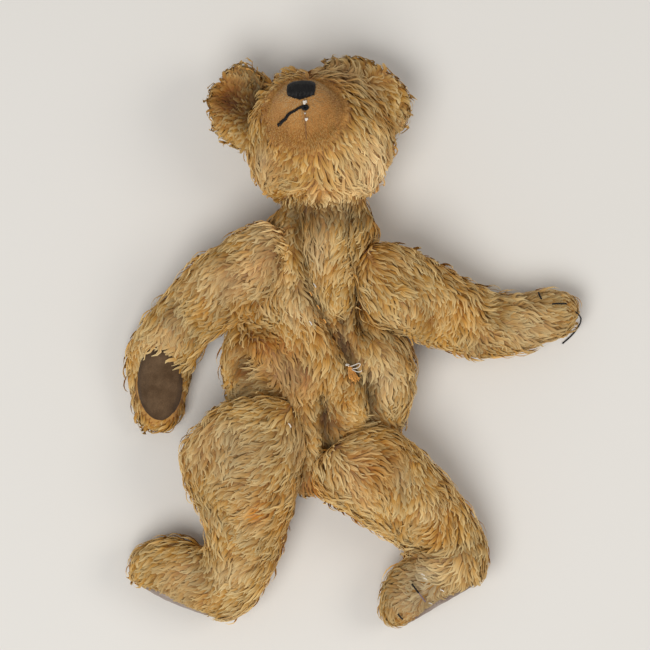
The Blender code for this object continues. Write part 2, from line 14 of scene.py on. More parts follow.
import bmesh
import bpy
import numpy as np
from mathutils import Matrix, Vector, noise
from mathutils.bvhtree import BVHTree

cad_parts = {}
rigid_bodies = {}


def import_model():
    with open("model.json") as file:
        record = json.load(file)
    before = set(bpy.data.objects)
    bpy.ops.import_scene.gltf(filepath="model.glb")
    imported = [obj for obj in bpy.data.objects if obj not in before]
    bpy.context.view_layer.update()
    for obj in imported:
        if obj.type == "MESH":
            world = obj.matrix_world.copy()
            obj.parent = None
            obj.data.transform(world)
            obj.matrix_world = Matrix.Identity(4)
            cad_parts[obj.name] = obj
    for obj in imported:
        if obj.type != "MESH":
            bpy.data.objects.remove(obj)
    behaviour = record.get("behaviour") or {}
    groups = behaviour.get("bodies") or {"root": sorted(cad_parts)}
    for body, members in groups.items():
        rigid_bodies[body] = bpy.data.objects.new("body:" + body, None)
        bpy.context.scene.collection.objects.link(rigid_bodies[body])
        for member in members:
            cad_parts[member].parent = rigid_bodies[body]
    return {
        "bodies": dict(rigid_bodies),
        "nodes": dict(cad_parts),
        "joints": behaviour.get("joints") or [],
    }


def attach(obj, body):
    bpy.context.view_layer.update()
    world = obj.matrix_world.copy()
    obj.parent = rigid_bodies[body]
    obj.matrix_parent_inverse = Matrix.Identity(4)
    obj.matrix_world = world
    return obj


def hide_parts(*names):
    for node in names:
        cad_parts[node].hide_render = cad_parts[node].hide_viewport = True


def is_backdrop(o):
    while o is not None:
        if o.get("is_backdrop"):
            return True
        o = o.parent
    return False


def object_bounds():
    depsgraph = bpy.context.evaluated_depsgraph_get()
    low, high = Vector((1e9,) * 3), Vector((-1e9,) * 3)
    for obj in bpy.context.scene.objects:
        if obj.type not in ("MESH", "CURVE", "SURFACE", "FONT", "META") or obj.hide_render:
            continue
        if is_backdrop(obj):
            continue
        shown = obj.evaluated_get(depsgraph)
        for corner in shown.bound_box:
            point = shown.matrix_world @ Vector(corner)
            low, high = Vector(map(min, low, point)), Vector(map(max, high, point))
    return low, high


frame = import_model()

cad_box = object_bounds()
MM = 0.001
JOINTS = {joint["child"]: joint for joint in frame["joints"]}
print("the bear's solids, in mm:", [round(side / MM) for side in cad_box[1] - cad_box[0]])

# %% [markdown]
# The bear is seen from straight above, so the camera looks down and needs no turning: a Blender
# camera looks along its own -Z. A long lens far away keeps the high snout from leaning outwards.
# The bear lies a little to the right of the picture's middle.

# %% The camera
VIEW_WIDTH = 0.572
CAMERA_HEIGHT = 4.0
SENSOR_WIDTH = 36.0
BEAR_OFF_MIDDLE = Vector((29.4, -17.5, 0)) * MM

view_middle = (cad_box[0] + cad_box[1]) / 2 - BEAR_OFF_MIDDLE
camera_data = bpy.data.cameras.new("camera")
camera_data.sensor_width = SENSOR_WIDTH
camera_data.lens = SENSOR_WIDTH * (CAMERA_HEIGHT - view_middle.z) / VIEW_WIDTH
camera = bpy.data.objects.new("camera", camera_data)
camera.location = (view_middle.x, view_middle.y, CAMERA_HEIGHT)
bpy.context.scene.collection.objects.link(camera)
bpy.context.scene.camera = camera
print(f"a {camera_data.lens:.0f} mm lens over {[round(c / MM) for c in view_middle]}")

# %% [markdown]
# Materials and the pile are node trees. One small helper turns a hex colour into the linear numbers
# that a shader works in. Another adds a node with its settings and links; a node that is given as an
# input stands for the first of its outputs that is in use. The rest make a material, an object, or a
# tree of Geometry Nodes with named inputs, and set such a tree to work on an object.

# %% Helpers for node trees
def linear(hex_colour):
    """An sRGB hex colour as linear red, green, blue and alpha."""
    channels = [int(hex_colour[i : i + 2], 16) / 255 for i in (0, 2, 4)]
    return (*((c / 12.92 if c <= 0.04045 else ((c + 0.055) / 1.055) ** 2.4) for c in channels), 1.0)


def add_node(tree, kind, links=None, **settings):
    """Adds a node. Settings are its properties; links feed its inputs with values or other nodes."""
    node = tree.nodes.new(kind)
    for name, value in settings.items():
        setattr(node, name, value)
    for place, value in (links or {}).items():
        if isinstance(value, bpy.types.Node):
            value = next(socket for socket in value.outputs if socket.enabled)
        if isinstance(value, bpy.types.NodeSocket):
            tree.links.new(value, node.inputs[place])
        else:
            node.inputs[place].default_value = value
    return node


def maths(tree, operation, *values):
    """A number worked out from others."""
    return add_node(tree, "ShaderNodeMath", dict(enumerate(values)), operation=operation)


def vector_maths(tree, operation, *values):
    """A vector worked out from others, or scaled by a number."""
    places = (0, "Scale") if operation == "SCALE" else (0, 1)
    return add_node(tree, "ShaderNodeVectorMath", dict(zip(places, values)), operation=operation)


def blended(tree, share, first, second):
    """A colour between two others; a share of 1 is all of the second."""
    return add_node(tree, "ShaderNodeMix", {0: share, 6: first, 7: second}, data_type="RGBA")


def named(tree, name, kind):
    """What is kept on the points under a name."""
    return add_node(tree, "GeometryNodeInputNamedAttribute", {0: name}, data_type=kind)


def new_material(name, roughness, **sockets):
    """A new material, its tree and its shader; sockets are fixed values of the Principled BSDF."""
    made = bpy.data.materials.new(name)
    made.use_nodes = True
    shader = made.node_tree.nodes["Principled BSDF"]
    shader.inputs["Roughness"].default_value = roughness
    for socket, value in sockets.items():
        shader.inputs[socket.replace("_", " ")].default_value = value
    return made, made.node_tree, shader

# %% Helpers for finishes, pieces and trees
def mottled(name, roughness, grain, dark, pale, **sockets):
    """A matt finish of two near tones of one colour; grain is how many blotches go to a metre."""
    made, tree, shader = new_material(name, roughness, **sockets)
    place = add_node(tree, "ShaderNodeTexCoord").outputs["Object"]
    mottle = add_node(tree, "ShaderNodeTexNoise", {"Vector": place, "Scale": grain})
    dyed = blended(tree, mottle, linear(dark), linear(pale))
    tree.links.new(dyed.outputs[2], shader.inputs["Base Color"])
    return made


def placed(name, data):
    """A new object in the scene, at the origin."""
    obj = bpy.data.objects.new(name, data)
    bpy.context.scene.collection.objects.link(obj)
    return obj


def new_piece(name, mesh, finish):
    """An object at the origin with one material."""
    mesh.name = name
    mesh.materials.clear()
    mesh.materials.append(finish)
    mesh.shade_smooth()
    return placed(name, mesh)


def new_tree(name, sizes, **others):
    """A Geometry Nodes tree with a named input for each size, and the outputs of its input node."""
    made = bpy.data.node_groups.new(name, "GeometryNodeTree")
    made.interface.new_socket("Geometry", in_out="INPUT", socket_type="NodeSocketGeometry")
    for size, value in sizes.items():
        socket = made.interface.new_socket(size, in_out="INPUT", socket_type="NodeSocketFloat")
        socket.default_value = value
    for other, kind in others.items():
        made.interface.new_socket(other, in_out="INPUT", socket_type="NodeSocket" + kind)
    made.interface.new_socket("Geometry", in_out="OUTPUT", socket_type="NodeSocketGeometry")
    return made, add_node(made, "NodeGroupInput").outputs


def run_tree(obj, tree, **inputs):
    """Gives an object a tree as a modifier and sets its inputs, by identifier, before it first runs."""
    modifier = obj.modifiers.new(tree.name, "NODES")
    modifier.node_group = tree
    identifiers = {item.name: item.identifier for item in tree.interface.items_tree if item.in_out == "INPUT"}
    for name, value in inputs.items():
        modifier[identifiers[name]] = value

# %% [markdown]
# A thread hangs from the left paw: one of its claws has come loose. It is black embroidery floss, a
# limp cord of six soft strands with a dull shine. It leaves the paw near its tip, falls over the side
# and lies on the surface below. It is a curve with a round bevel.

# %% The loose claw thread
LOOSE_THREAD = [
    (193.5, 30, 34.5), (197.5, 27.5, 30.5), (200.5, 24, 24), (201, 20.5, 16.5), (200, 17, 9.5), (198.3, 14, 4),
    (196.3, 11, 1.4), (193.8, 8.1, 1.1), (190.8, 5.2, 1.1), (187.8, 2.6, 1.1), (185.6, 0.7, 1.1),
]
THREAD_WIDTH = 1.5 * MM

# Silky strands 0.75 mm apart catch the light as fine ridges.
FLOSS, tree, shader = new_material("black_embroidery_floss", 0.5, Specular_IOR_Level=0.25)
place = add_node(tree, "ShaderNodeTexCoord").outputs["Object"]
strands = add_node(tree, "ShaderNodeTexWave", {"Vector": place, "Scale": 420.0, "Distortion": 3.0})
ink = blended(tree, strands, linear("0D0C0C"), linear("262424"))
bump = add_node(tree, "ShaderNodeBump", {"Height": strands, "Strength": 0.6, "Distance": 0.3 * MM})
tree.links.new(ink.outputs[2], shader.inputs["Base Color"])
tree.links.new(bump.outputs[0], shader.inputs["Normal"])


def thread_curve(name, points, width, finish):
    """A round thread through points in mm, as a smooth curve."""
    curve = bpy.data.curves.new(name, "CURVE")
    curve.dimensions = "3D"
    curve.bevel_depth, curve.bevel_resolution, curve.resolution_u = width / 2, 2, 4
    curve.use_fill_caps = True
    spline = curve.splines.new("BEZIER")
    spline.bezier_points.add(len(points) - 1)
    for knot, point in zip(spline.bezier_points, points):
        knot.co = Vector(point) * MM
        knot.handle_left_type = knot.handle_right_type = "AUTO"
    curve.materials.append(finish)
    return placed(name, curve)


loose_thread = thread_curve("loose_claw_thread", LOOSE_THREAD, THREAD_WIDTH, FLOSS)
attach(loose_thread, "left_arm")
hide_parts("left_paw_loose_thread")

# %% [markdown]
# The bear lies on a plain pale surface under soft light. Most of it comes from all round; a wide lamp
# on the lower left makes the gentle shadows that lie to the upper right of everything. A studio colour
# transform would change the colours that the materials state, so the view is set to Standard.

# %% The floor and the light
FLOOR_SIZE = 6.0
SKY_COLOUR, SKY_STRENGTH = "F4F6FA", 0.43
LAMPS = {
    "key": {"place": (-0.9, -1.3, 3.4), "size": 2.4, "power": 92, "colour": "FFFEFC"},
    "fill": {"place": (2.4, 0.2, 2.8), "size": 1.8, "power": 27, "colour": "FFF8EE"},
}

bpy.context.scene.view_settings.view_transform = "Standard"
# Paper without a shine, very faintly mottled in blotches of 30 cm.
PAPER = mottled("matt_backdrop_paper", 0.9, 3.0, "D9D6D0", "DDDAD5", Specular_IOR_Level=0.1)
bm = bmesh.new()
bmesh.ops.create_grid(bm, x_segments=1, y_segments=1, size=FLOOR_SIZE / 2)
floor_mesh = bpy.data.meshes.new("floor")
bm.to_mesh(floor_mesh)
bm.free()
floor = new_piece("floor", floor_mesh, PAPER)
floor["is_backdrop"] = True

world = bpy.data.worlds.new("soft_studio")
world.use_nodes = True
bpy.context.scene.world = world
sky = world.node_tree.nodes["Background"]
sky.inputs["Color"].default_value = linear(SKY_COLOUR)
sky.inputs["Strength"].default_value = SKY_STRENGTH
for name, lamp in LAMPS.items():
    light = bpy.data.lights.new(name, "AREA")
    light.shape, light.size, light.energy = "DISK", lamp["size"], lamp["power"]
    light.color = linear(lamp["colour"])[:3]
    stand = placed(name, light)
    stand.location = lamp["place"]
    stand.rotation_euler = (-Vector(lamp["place"])).to_track_quat("-Z", "Y").to_euler()
print(len(LAMPS), "lamps and a soft sky")

# %% [markdown]
# Mohair cloth is a woven backing with goat hair sewn through it. Old mohair is dull and brown at the
# root, where the dirt sits, and pale and a little glossy at the tip. Each lock carries how far along it
# a point is, so one gradient can colour every lock. It also carries how far round it a point is, so
# noise that is stretched along a lock can draw its hairs. The cloth carries where the bear is stained
# orange, where it has faded, where it is darker, and where shade and light are painted on, and the
# locks take that over. A stain tints the hair as a dye does, so it multiplies; fading covers what was
# there, so it mixes.

# %% The mohair
# A hair is under 0.1 mm thick and couldn't be seen, so streaks are drawn about 0.5 mm apart.
HAIRS_ACROSS = 5.0
SHADES_APART = 90.0
LOCKS, tree, shader = new_material("mohair_locks", 0.6, Specular_IOR_Level=0.25)
carried = {
    name: add_node(tree, "ShaderNodeAttribute", attribute_name=name).outputs["Fac"]
    for name in ("along", "around", "shade", "tone", "stain", "fade")
}
ramp = add_node(tree, "ShaderNodeValToRGB", {0: carried["along"]})
stops = ramp.color_ramp.elements
stops[0].color, stops[1].color = linear("8F571B"), linear("DCC28A")
stops.new(0.35).color = linear("B8873A")
orange = add_node(tree, "ShaderNodeMix", {
    0: carried["stain"], 6: ramp, 7: linear("DDAA18"),
}, data_type="RGBA", blend_type="MULTIPLY")
grey = blended(tree, carried["fade"], orange, linear("D6C29A"))
shade = add_node(tree, "ShaderNodeMapRange", {0: carried["shade"], 3: 0.84, 4: 1.05})
# The carried tone holds painted shade in folds and hollows and painted light at the sides, as well as the
# pile's own uneven tone.
shade = maths(tree, "MULTIPLY", shade, carried["tone"])
over = maths(tree, "MULTIPLY", carried["around"], HAIRS_ACROSS)
apart = maths(tree, "MULTIPLY", carried["shade"], SHADES_APART)
hair = add_node(tree, "ShaderNodeCombineXYZ", {0: over, 1: carried["along"], 2: apart})
hairs = add_node(tree, "ShaderNodeTexNoise", {"Vector": hair, "Scale": 1.0, "Detail": 1.0})
streak = add_node(tree, "ShaderNodeMapRange", {0: hairs, 1: 0.3, 2: 0.7, 3: 0.70, 4: 1.20})
shade = maths(tree, "MULTIPLY", shade, streak)
toned = vector_maths(tree, "SCALE", grey, shade)
tree.links.new(toned.outputs[0], shader.inputs["Base Color"])

# The woven backing with the short undercoat on it: dull, and matted in tufts of 4 mm.
BACKING, tree, shader = new_material("mohair_backing", 0.9, Sheen_Weight=0.15)
place = add_node(tree, "ShaderNodeTexCoord").outputs["Object"]
tone = add_node(tree, "ShaderNodeAttribute", attribute_name="tone").outputs["Fac"]
stain = add_node(tree, "ShaderNodeAttribute", attribute_name="stain").outputs["Fac"]
matted = add_node(tree, "ShaderNodeTexNoise", {"Vector": place, "Scale": 260.0, "Detail": 4.0})
cloth = blended(tree, matted, linear("9C6A2C"), linear("C4954F"))
orange = blended(tree, stain, cloth, linear("A86A2C"))
# The backing is scaled by the same carried tone, with its painted shade and light and its uneven tone.
toned = vector_maths(tree, "SCALE", orange, tone)
bump = add_node(tree, "ShaderNodeBump", {"Height": matted, "Strength": 0.6, "Distance": 1.0 * MM})
tree.links.new(toned.outputs[0], shader.inputs["Base Color"])
tree.links.new(bump.outputs[0], shader.inputs["Normal"])
print("locks and backing")

# %% [markdown]
# A stuffed cover is a cloth bag. The frame's covers are hollow shells with flat faces where a limb
# meets the torso. Only their outsides are wanted, and evenly meshed, so that they can be shaped. A
# face belongs to the outside when the filling lies behind it. What is left has a hole at the joint,
# and at the sole of a leg; each is closed with a fan of triangles before the remesh.

# %% The outsides of the covers
SKIN_MESH = 3.4 * MM
EAR_MESH = 3.0 * MM


def merged_copy(node):
    """A welded bmesh copy of a frame node."""
    bm = bmesh.new()
    bm.from_mesh(frame["nodes"][node].data)
    bmesh.ops.remove_doubles(bm, verts=bm.verts, dist=0.01 * MM)
    return bm


def mesh_of(bm, name):
    mesh = bpy.data.meshes.new(name)
    bm.to_mesh(mesh)
    bm.free()
    return mesh


def applied(obj):
    """Gives the object a plain mesh of what its modifiers made, and removes them."""
    bpy.context.view_layer.update()
    graph = bpy.context.evaluated_depsgraph_get()
    mesh = bpy.data.meshes.new_from_object(obj.evaluated_get(graph))
    obj.modifiers.clear()
    obj.data = mesh
    return mesh

# %% Helpers for closed, even shapes
def close_holes(bm):
    """Closes each hole with a fan of triangles to its middle."""
    # A set has another order in each run, and sums differ in their last digit. These keep their order.
    left = dict.fromkeys(edge for edge in bm.edges if edge.is_boundary)
    while left:
        hole, waiting = [], [left.popitem()[0]]
        while waiting:
            edge = waiting.pop()
            hole.append(edge)
            for other in (other for point in edge.verts for other in point.link_edges if other in left):
                del left[other]
                waiting.append(other)
        rim = dict.fromkeys(point for edge in hole for point in edge.verts)
        middle = bm.verts.new(sum((point.co for point in rim), Vector()) / len(rim))
        for edge in hole:
            bm.faces.new((*edge.verts, middle))
    bmesh.ops.recalc_face_normals(bm, faces=bm.faces)


def tree_of(bm):
    """A tree of a bmesh's faces, to find what is near or hit; the bmesh is used up."""
    tree = BVHTree.FromBMesh(bm)
    bm.free()
    return tree


def outside(bm, core):
    """Keeps the outside of a shell and closes it. The outside has the core behind it."""
    inner = []
    for face in bm.faces:
        middle = face.calc_center_median()
        towards = core.find_nearest(middle)[0] - middle
        if towards.dot(face.normal) > 0:
            inner.append(face)
    bmesh.ops.delete(bm, geom=inner, context="FACES")
    close_holes(bm)
    return bm


def evened(obj, size, rounds):
    """Gives a closed shape an even mesh and smooths it."""
    remesh = obj.modifiers.new("even", "REMESH")
    remesh.mode, remesh.voxel_size = "VOXEL", size
    smooth = obj.modifiers.new("soft", "SMOOTH")
    smooth.factor, smooth.iterations = 0.5, rounds
    applied(obj)

# %% The skins
skins, owner, fillings = {}, {}, {}
for body in frame["bodies"]:
    fillings[body] = tree_of(merged_copy(body + "_stuffing"))
    skin_bm = outside(merged_copy(body + "_cover"), fillings[body])
    skins[body], owner[body] = new_piece(body + "_skin", mesh_of(skin_bm, body), BACKING), body
    evened(skins[body], SKIN_MESH, 4)
    print(body, len(skins[body].data.vertices), "points")
for ear in ("right_ear", "left_ear"):
    skins[ear], owner[ear] = new_piece(ear + "_skin", mesh_of(merged_copy(ear), ear), BACKING), "head"
    evened(skins[ear], EAR_MESH, 3)
    print(ear, len(skins[ear].data.vertices), "points")

# %% [markdown]
# The bear has lost part of its wood wool, so the cloth of its body lies in folds: the front seam has
# sunk into a valley, the chest stands up as a ridge beside it, and the belly has bulges with creases
# between them. Each fold is a line over the front with a width and a height, and a point near the
# line moves in or out along its normal. Small lumps of the filling show everywhere, as smooth noise.
# Next to the cloth is an undercoat of short dense hair, which makes every part a little thicker, but
# not beside the felt or on the clipped snout.

# %% Folds and lumps
# Each fold is a line of points in mm, seen from above, its width, and its height, below 0 for a crease.
FOLDS = {
    "torso": [
        ([(-8, 96), (-16, 60), (-14, 40)], 9, 3),
        ([(-49, 113), (-44, 75), (-38, 48), (-26, 20), (-14, 2)], 5, -7),
        ([(-14, 26), (-14, 6), (-4, -14), (2, -26)], 6, -13),
        ([(-24, 112), (-20, 80), (-18, 52), (-16, 30)], 11, 6),
        ([(10, 108), (0, 76), (-8, 48), (-10, 30)], 11, 8),
        ([(-58, 106), (-56, 70), (-52, 40), (-44, 10)], 12, 5),
        ([(22, 104), (12, 70), (2, 38), (4, 12)], 5, -8),
        ([(-27, -44), (-28, -66), (-25, -90), (-24, -112)], 5, -11),
        ([(12, -26), (13, -50), (9, -72)], 5, -8),
        ([(-4, -32), (0, -52), (-4, -74)], 9, 8),
        ([(26, 4), (34, -26), (28, -60)], 13, 7),
        ([(-50, -6), (-44, -34), (-44, -60)], 14, 6),
        ([(-80, 22), (-72, 34), (-60, 38)], 10, 4),
        ([(-78, 12), (-64, -6), (-48, -14)], 5, -4),
        ([(-96, -12), (-90, -20), (-84, -28)], 7, -6),
        ([(-104, -40), (-80, -34), (-56, -42), (-40, -56)], 4, -2),
        ([(-58, 90), (-62, 66), (-70, 44)], 10, 4),
    ],
    "left_arm": [
        ([(110, 62), (114, 44), (116, 26)], 5, -5),
        ([(96, 12), (108, 2), (122, -8)], 5, -4),
        ([(40, 60), (58, 40), (70, 22)], 6, -3),
    ],
    "right_arm": [
        ([(-160, 44), (-150, 26), (-136, 8)], 6, -4),
        ([(-106, 80), (-98, 60), (-84, 40)], 6, -3),
        ([(-56, 96), (-56, 66), (-68, 38)], 14, -7),
    ],
    "right_leg": [
        ([(-140, -132), (-118, -150), (-90, -166), (-70, -174)], 6, -3),
        ([(-146, -176), (-134, -188), (-128, -204)], 6, -4),
    ],
    "left_leg": [
        ([(54, -184), (72, -182), (92, -176)], 6, -4),
        ([(10, -92), (28, -104), (36, -124)], 6, -2.5),
    ],
    "head": [([(-93, 238), (-92, 205), (-86, 185)], 9, 5)],
    "right_ear": [([(-84, 250), (-84, 205)], 14, -10)],
    "left_ear": [],
}
CLOTH_OVER_FILLING = 1.2 * MM
DEEPEST = 10
UNDERCOAT = 3.0 * MM
# How far ahead of the middle of the head the clipping begins and is full.
SNOUT_FROM = (55 * MM, 59 * MM)
FELT_CLEAR = 6 * MM
# The right ear's inner part leans down: where it starts, how wide it is, and where the ear stands free.
EAR_LEAN = 0.55
EAR_INNER, EAR_WIDTH = -104 * MM, 30 * MM
EAR_FREE, EAR_HEIGHT = 212 * MM, 25 * MM
# Where the stuffing is fuller than the solids have it: x, y, radius and height in mm.
FULLER = [
    (-152, -100, 26, 6), (46, -30, 24, 4), (104, -150, 40, 4), (62, 74, 30, 4), (-150, 66, 34, 5),
    (22, 128, 16, 6), (-196, 0, 24, 4), (-62, 234, 34, 9), (-15, 238, 22, 6), (200, 22, 14, -5),
]
LUMPS = ((0.045, 2.2 * MM), (0.016, 1.0 * MM))

# %% Helpers for points and places
def points_of(mesh):
    """The places and normals of a mesh's points, as arrays."""
    places, normals = np.empty(len(mesh.vertices) * 3), np.empty(len(mesh.vertices) * 3)
    mesh.vertices.foreach_get("co", places)
    mesh.vertex_normals.foreach_get("vector", normals)
    return places.reshape(-1, 3), normals.reshape(-1, 3)


def noise_at(places, size, shift=0.0):
    """Smooth noise from about -1 to 1 whose lumps are size metres across."""
    return np.array([noise.noise(Vector(place) / size + Vector((shift, shift, shift))) for place in places])


def rising(values, ends):
    """From 0 at the first of two ends to 1 at the second."""
    return np.clip((values - ends[0]) / (ends[1] - ends[0]), 0, 1)


def distance_in_plan(places, line):
    """How far points are, seen from above, from a line through points in mm."""
    plan, nearest = places[:, :2], np.full(len(places), 1.0)
    for first, second in zip(np.array(line) * MM, np.array(line[1:]) * MM):
        along = second - first
        share = np.clip(((plan - first) @ along) / (along @ along), 0, 1)
        nearest = np.minimum(nearest, np.linalg.norm(plan - first - share[:, None] * along, axis=1))
    return nearest


def outside_filling(place, filling):
    """The place itself, or where it comes out when it lies too close over the filling or in it."""
    found, normal, _, far = filling.find_nearest(place)
    if (place - found).dot(normal) > 0 and far > CLOTH_OVER_FILLING:
        return place
    return found + normal * CLOTH_OVER_FILLING


face_centre = Vector((-33, 180, 59)) * MM
face_looks = Vector((-0.165, 0.51, 0.85)).normalized()


def clipped(places):
    """Which points are on the snout, where the pile is clipped: 1 on it, 0 off it."""
    ahead = (places - np.array(face_centre)) @ np.array(face_looks) + 2.5 * MM * noise_at(places, 0.02, 9.0)
    return rising(ahead, SNOUT_FROM)

# %% [markdown]
# Each skin now takes its shape in steps: folds, lumps, undercoat. Last it is pushed out wherever it
# came too close over the wood wool, because cloth can't pass through what it is stuffed with. How deep
# in a fold each point lies is kept, since hair in a crease is thinner, and its colour is darkened there
# as painted shade.

# %% The skins take their shape
felt_trees = {name: tree_of(merged_copy(name)) for name in frame["nodes"] if name.endswith("_pad")}
depths = {}
for body, skin in skins.items():
    places, normals = points_of(skin.data)
    depths[body] = np.zeros(len(places))
    for line, width, height in FOLDS[body]:
        near = np.exp(-((distance_in_plan(places, line) / (width * MM)) ** 2))
        upward = np.clip(normals[:, 2] * 1.5, 0, 1)
        places = places + normals * (near * upward * height * MM)[:, None]
        depths[body] = np.maximum(depths[body], np.clip(-height / DEEPEST, 0, 1) * near**0.6 * upward)
    for size, height in LUMPS:
        places = places + normals * (noise_at(places, size, len(body)) * height)[:, None]
    thick = UNDERCOAT * np.clip(normals[:, 2] + 1, 0, 1)
    for x, y, radius, height in FULLER:
        far = np.hypot(places[:, 0] - x * MM, places[:, 1] - y * MM) / (radius * MM)
        thick = thick + height * MM * np.exp(-(far**2)) * (1 - np.clip(normals[:, 2], 0, 1))
    for tree in felt_trees.values():
        far = np.array([tree.find_nearest(Vector(place))[3] for place in places])
        thick = thick * np.clip(far / FELT_CLEAR, 0, 1)
    if body == "head":
        thick = thick * (1 - clipped(places))
    places = places + normals * thick[:, None]
    if body == "right_ear":
        inner = np.clip(places[:, 0] - EAR_INNER, 0, EAR_WIDTH)
        places[:, 1] -= EAR_LEAN * inner * np.clip((places[:, 1] - EAR_FREE) / EAR_HEIGHT, 0, 1)
    places[:, 2] = np.maximum(places[:, 2], 0.5 * MM)
    if body in fillings:
        places = np.array([outside_filling(Vector(place), fillings[body]) for place in places])
    skin.data.vertices.foreach_set("co", places.ravel())
    skin.data.update()
    print(body, len(FOLDS[body]), "folds")

# %% [markdown]
# Pile lies the way it was brushed: down from the neck over the body, from the joint to the tip of each
# limb, and away from the snout over the head. So each point of a skin gets a comb direction, which is
# the way that leads away from a starting place along the surface. Distances along the surface come
# from Dijkstra's method over the mesh. Handling has swept the pile other ways in many places. Each of
# those is a point with a direction, and near it the comb leans over to that. Smooth noise turns it a
# little more, in swirls.

# %% The way the pile lies
NEAR_START = 14 * MM
SWIRLS = ((0.060, 0.2), (0.022, 0.3))
# Where handling has swept the pile another way: x and y in mm, and the way it lies, in degrees from +X.
FLOWS = [
    (-70, -52, 195), (-90, -50, 192), (-112, -52, 188), (0, -73, 10), (42, -86, 325), (0, 101, 215),
    (6, 89, 220), (-10, 85, 230), (-8, 62, 235), (2, 66, 225), (-30, 102, 275), (-46, 85, 285),
    (-42, 62, 295), (-12, 96, 235), (-4, 78, 225), (-20, 62, 245), (-12, 44, 255), (-35, 40, 290),
    (-75, 62, 240), (-90, 76, 230), (-65, 42, 262), (-100, 30, 295), (-86, 15, 325), (-68, 7, 335),
    (-55, 22, 270), (-35, 16, 305), (-42, -5, 268), (-58, -26, 310), (-35, -25, 262), (-15, -36, 240),
    (0, -45, 270), (10, -62, 290), (20, -36, 245), (38, -25, 315), (28, 5, 305), (12, 10, 290),
    (-102, -8, 240), (-80, -34, 190), (-98, -26, 200), (-30, -86, 280), (-25, -62, 270), (5, 22, 240),
    (-100, -68, 203), (-80, -86, 208), (-125, -62, 195), (-105, -100, 202), (-78, -105, 220), (-58, -96, 238),
    (-62, -120, 240), (-85, -126, 222), (-112, -130, 197), (-135, -126, 240), (-128, -150, 262),
    (-118, -176, 245), (-100, -156, 215), (-78, -178, 225), (-90, -200, 215), (-105, -222, 200),
    (-135, -215, 182), (-156, -200, 180), (-142, -88, 195), (-152, -110, 250), (-50, -68, 290),
    (-47, -82, 268), (-80, -226, 230), (-5, -85, 5), (20, -78, 20), (-16, -96, 300), (10, -93, 12),
    (26, -106, 330), (8, -106, 345), (-20, -120, 285), (0, -126, 290), (20, -126, 310), (10, -146, 300),
    (30, -150, 292), (45, -140, 265), (62, -140, 285), (45, -156, 258), (60, -160, 215), (60, -173, 205),
    (60, -187, 182), (74, -193, 172), (75, -110, 330), (60, -112, 318), (62, -126, 335), (86, -130, 310),
    (96, -150, 292), (105, -170, 288), (110, -190, 280), (90, -182, 255), (90, -202, 240), (76, -206, 215),
    (40, -215, 172), (46, -226, 200), (30, -236, 250), (40, -200, 170), (56, -206, 152), (-85, 99, 205),
    (-100, 88, 200), (-112, 78, 192), (-120, 65, 225), (-86, 84, 215), (-102, 68, 195), (-112, 48, 232),
    (-140, 61, 205), (-152, 50, 210), (-162, 44, 215), (-150, 30, 215), (-135, 45, 235), (-130, 30, 248),
    (-146, 20, 225), (-166, 28, 220), (-176, 20, 205), (-170, 8, 250), (-154, 2, 272), (-130, 10, 255),
    (-192, 14, 215), (-200, -14, 252), (-196, -50, 270), (25, 88, 340), (20, 75, 345), (28, 65, 300),
    (40, 65, 315), (56, 62, 300), (72, 60, 325), (86, 55, 335), (20, 45, 270), (40, 50, 15), (60, 50, 340),
    (76, 48, 300), (45, 30, 275), (30, 30, 280), (60, 28, 275), (75, 20, 255), (82, 35, 270), (100, 25, 290),
    (113, 27, 290), (90, 10, 260), (100, 0, 270), (60, 10, 250), (107, 42, 350), (130, 26, 30), (141, 36, 35),
    (152, 41, 28), (141, 20, 350), (156, 30, 345), (161, 15, 340), (140, 5, 300), (171, 12, 330),
    (182, 25, 0), (176, 42, 30), (120, -10, 285), (5, 190, 330), (15, 171, 325), (-2, 170, 318),
    (10, 150, 300), (20, 140, 285), (0, 140, 300), (-20, 150, 290), (-32, 140, 268), (-46, 135, 245),
    (-60, 130, 240), (-20, 130, 290), (-70, 145, 235), (-80, 160, 245), (-90, 176, 250), (-88, 196, 268),
    (-52, 236, 195), (-30, 237, 345), (0, 216, 330), (10, 205, 315), (25, 195, 292), (30, 210, 300),
    (-8, 230, 20), (-122, 218, 160), (-121, 196, 210), (-110, 240, 112), (-99, 235, 62), (-114, 180, 232),
    (18, 246, 60), (35, 230, 335), (40, 210, 302), (8, 250, 140), (28, 220, 300),
]
FLOW_REACH = 11 * MM

# %% Helpers for combing
def way_over_surface(mesh, places, starts):
    """How far each point is from the starting points, along the mesh and across its faces."""
    near = [set() for _ in places]
    for face in mesh.polygons:
        for point in face.vertices:
            near[point].update(face.vertices)
    way = np.full(len(places), 10.0)
    way[starts] = 0.0
    waiting = [(0.0, int(start)) for start in starts]
    while waiting:
        so_far, point = heapq.heappop(waiting)
        if so_far > way[point]:
            continue
        for other in near[point]:
            reach = so_far + float(np.linalg.norm(places[other] - places[point]))
            if reach < way[other]:
                way[other] = reach
                heapq.heappush(waiting, (reach, other))
    return way, near


def flat_unit(vectors, normals):
    """Vectors laid flat on the surface, one unit long."""
    vectors = vectors - normals * np.sum(vectors * normals, axis=1)[:, None]
    return vectors / np.maximum(np.linalg.norm(vectors, axis=1), 1e-9)[:, None]


def combed(mesh, places, normals, start):
    """The direction along the surface that leads away from a place."""
    far = np.linalg.norm(places - np.array(start), axis=1)
    way, near = way_over_surface(mesh, places, np.flatnonzero(far < far.min() + NEAR_START))
    first = np.array([i for i, others in enumerate(near) for _ in others])
    second = np.array([other for others in near for other in others])
    step = places[second] - places[first]
    size = np.maximum(np.sum(step * step, axis=1), 1e-12)
    climb = step * ((way[second] - way[first]) / size)[:, None]
    comb = np.zeros_like(places)
    np.add.at(comb, first, climb)
    for _ in range(6):
        comb = flat_unit(comb, normals)
        mixed = np.zeros_like(comb)
        np.add.at(mixed, first, comb[second])
        comb = mixed
    return flat_unit(comb, normals)


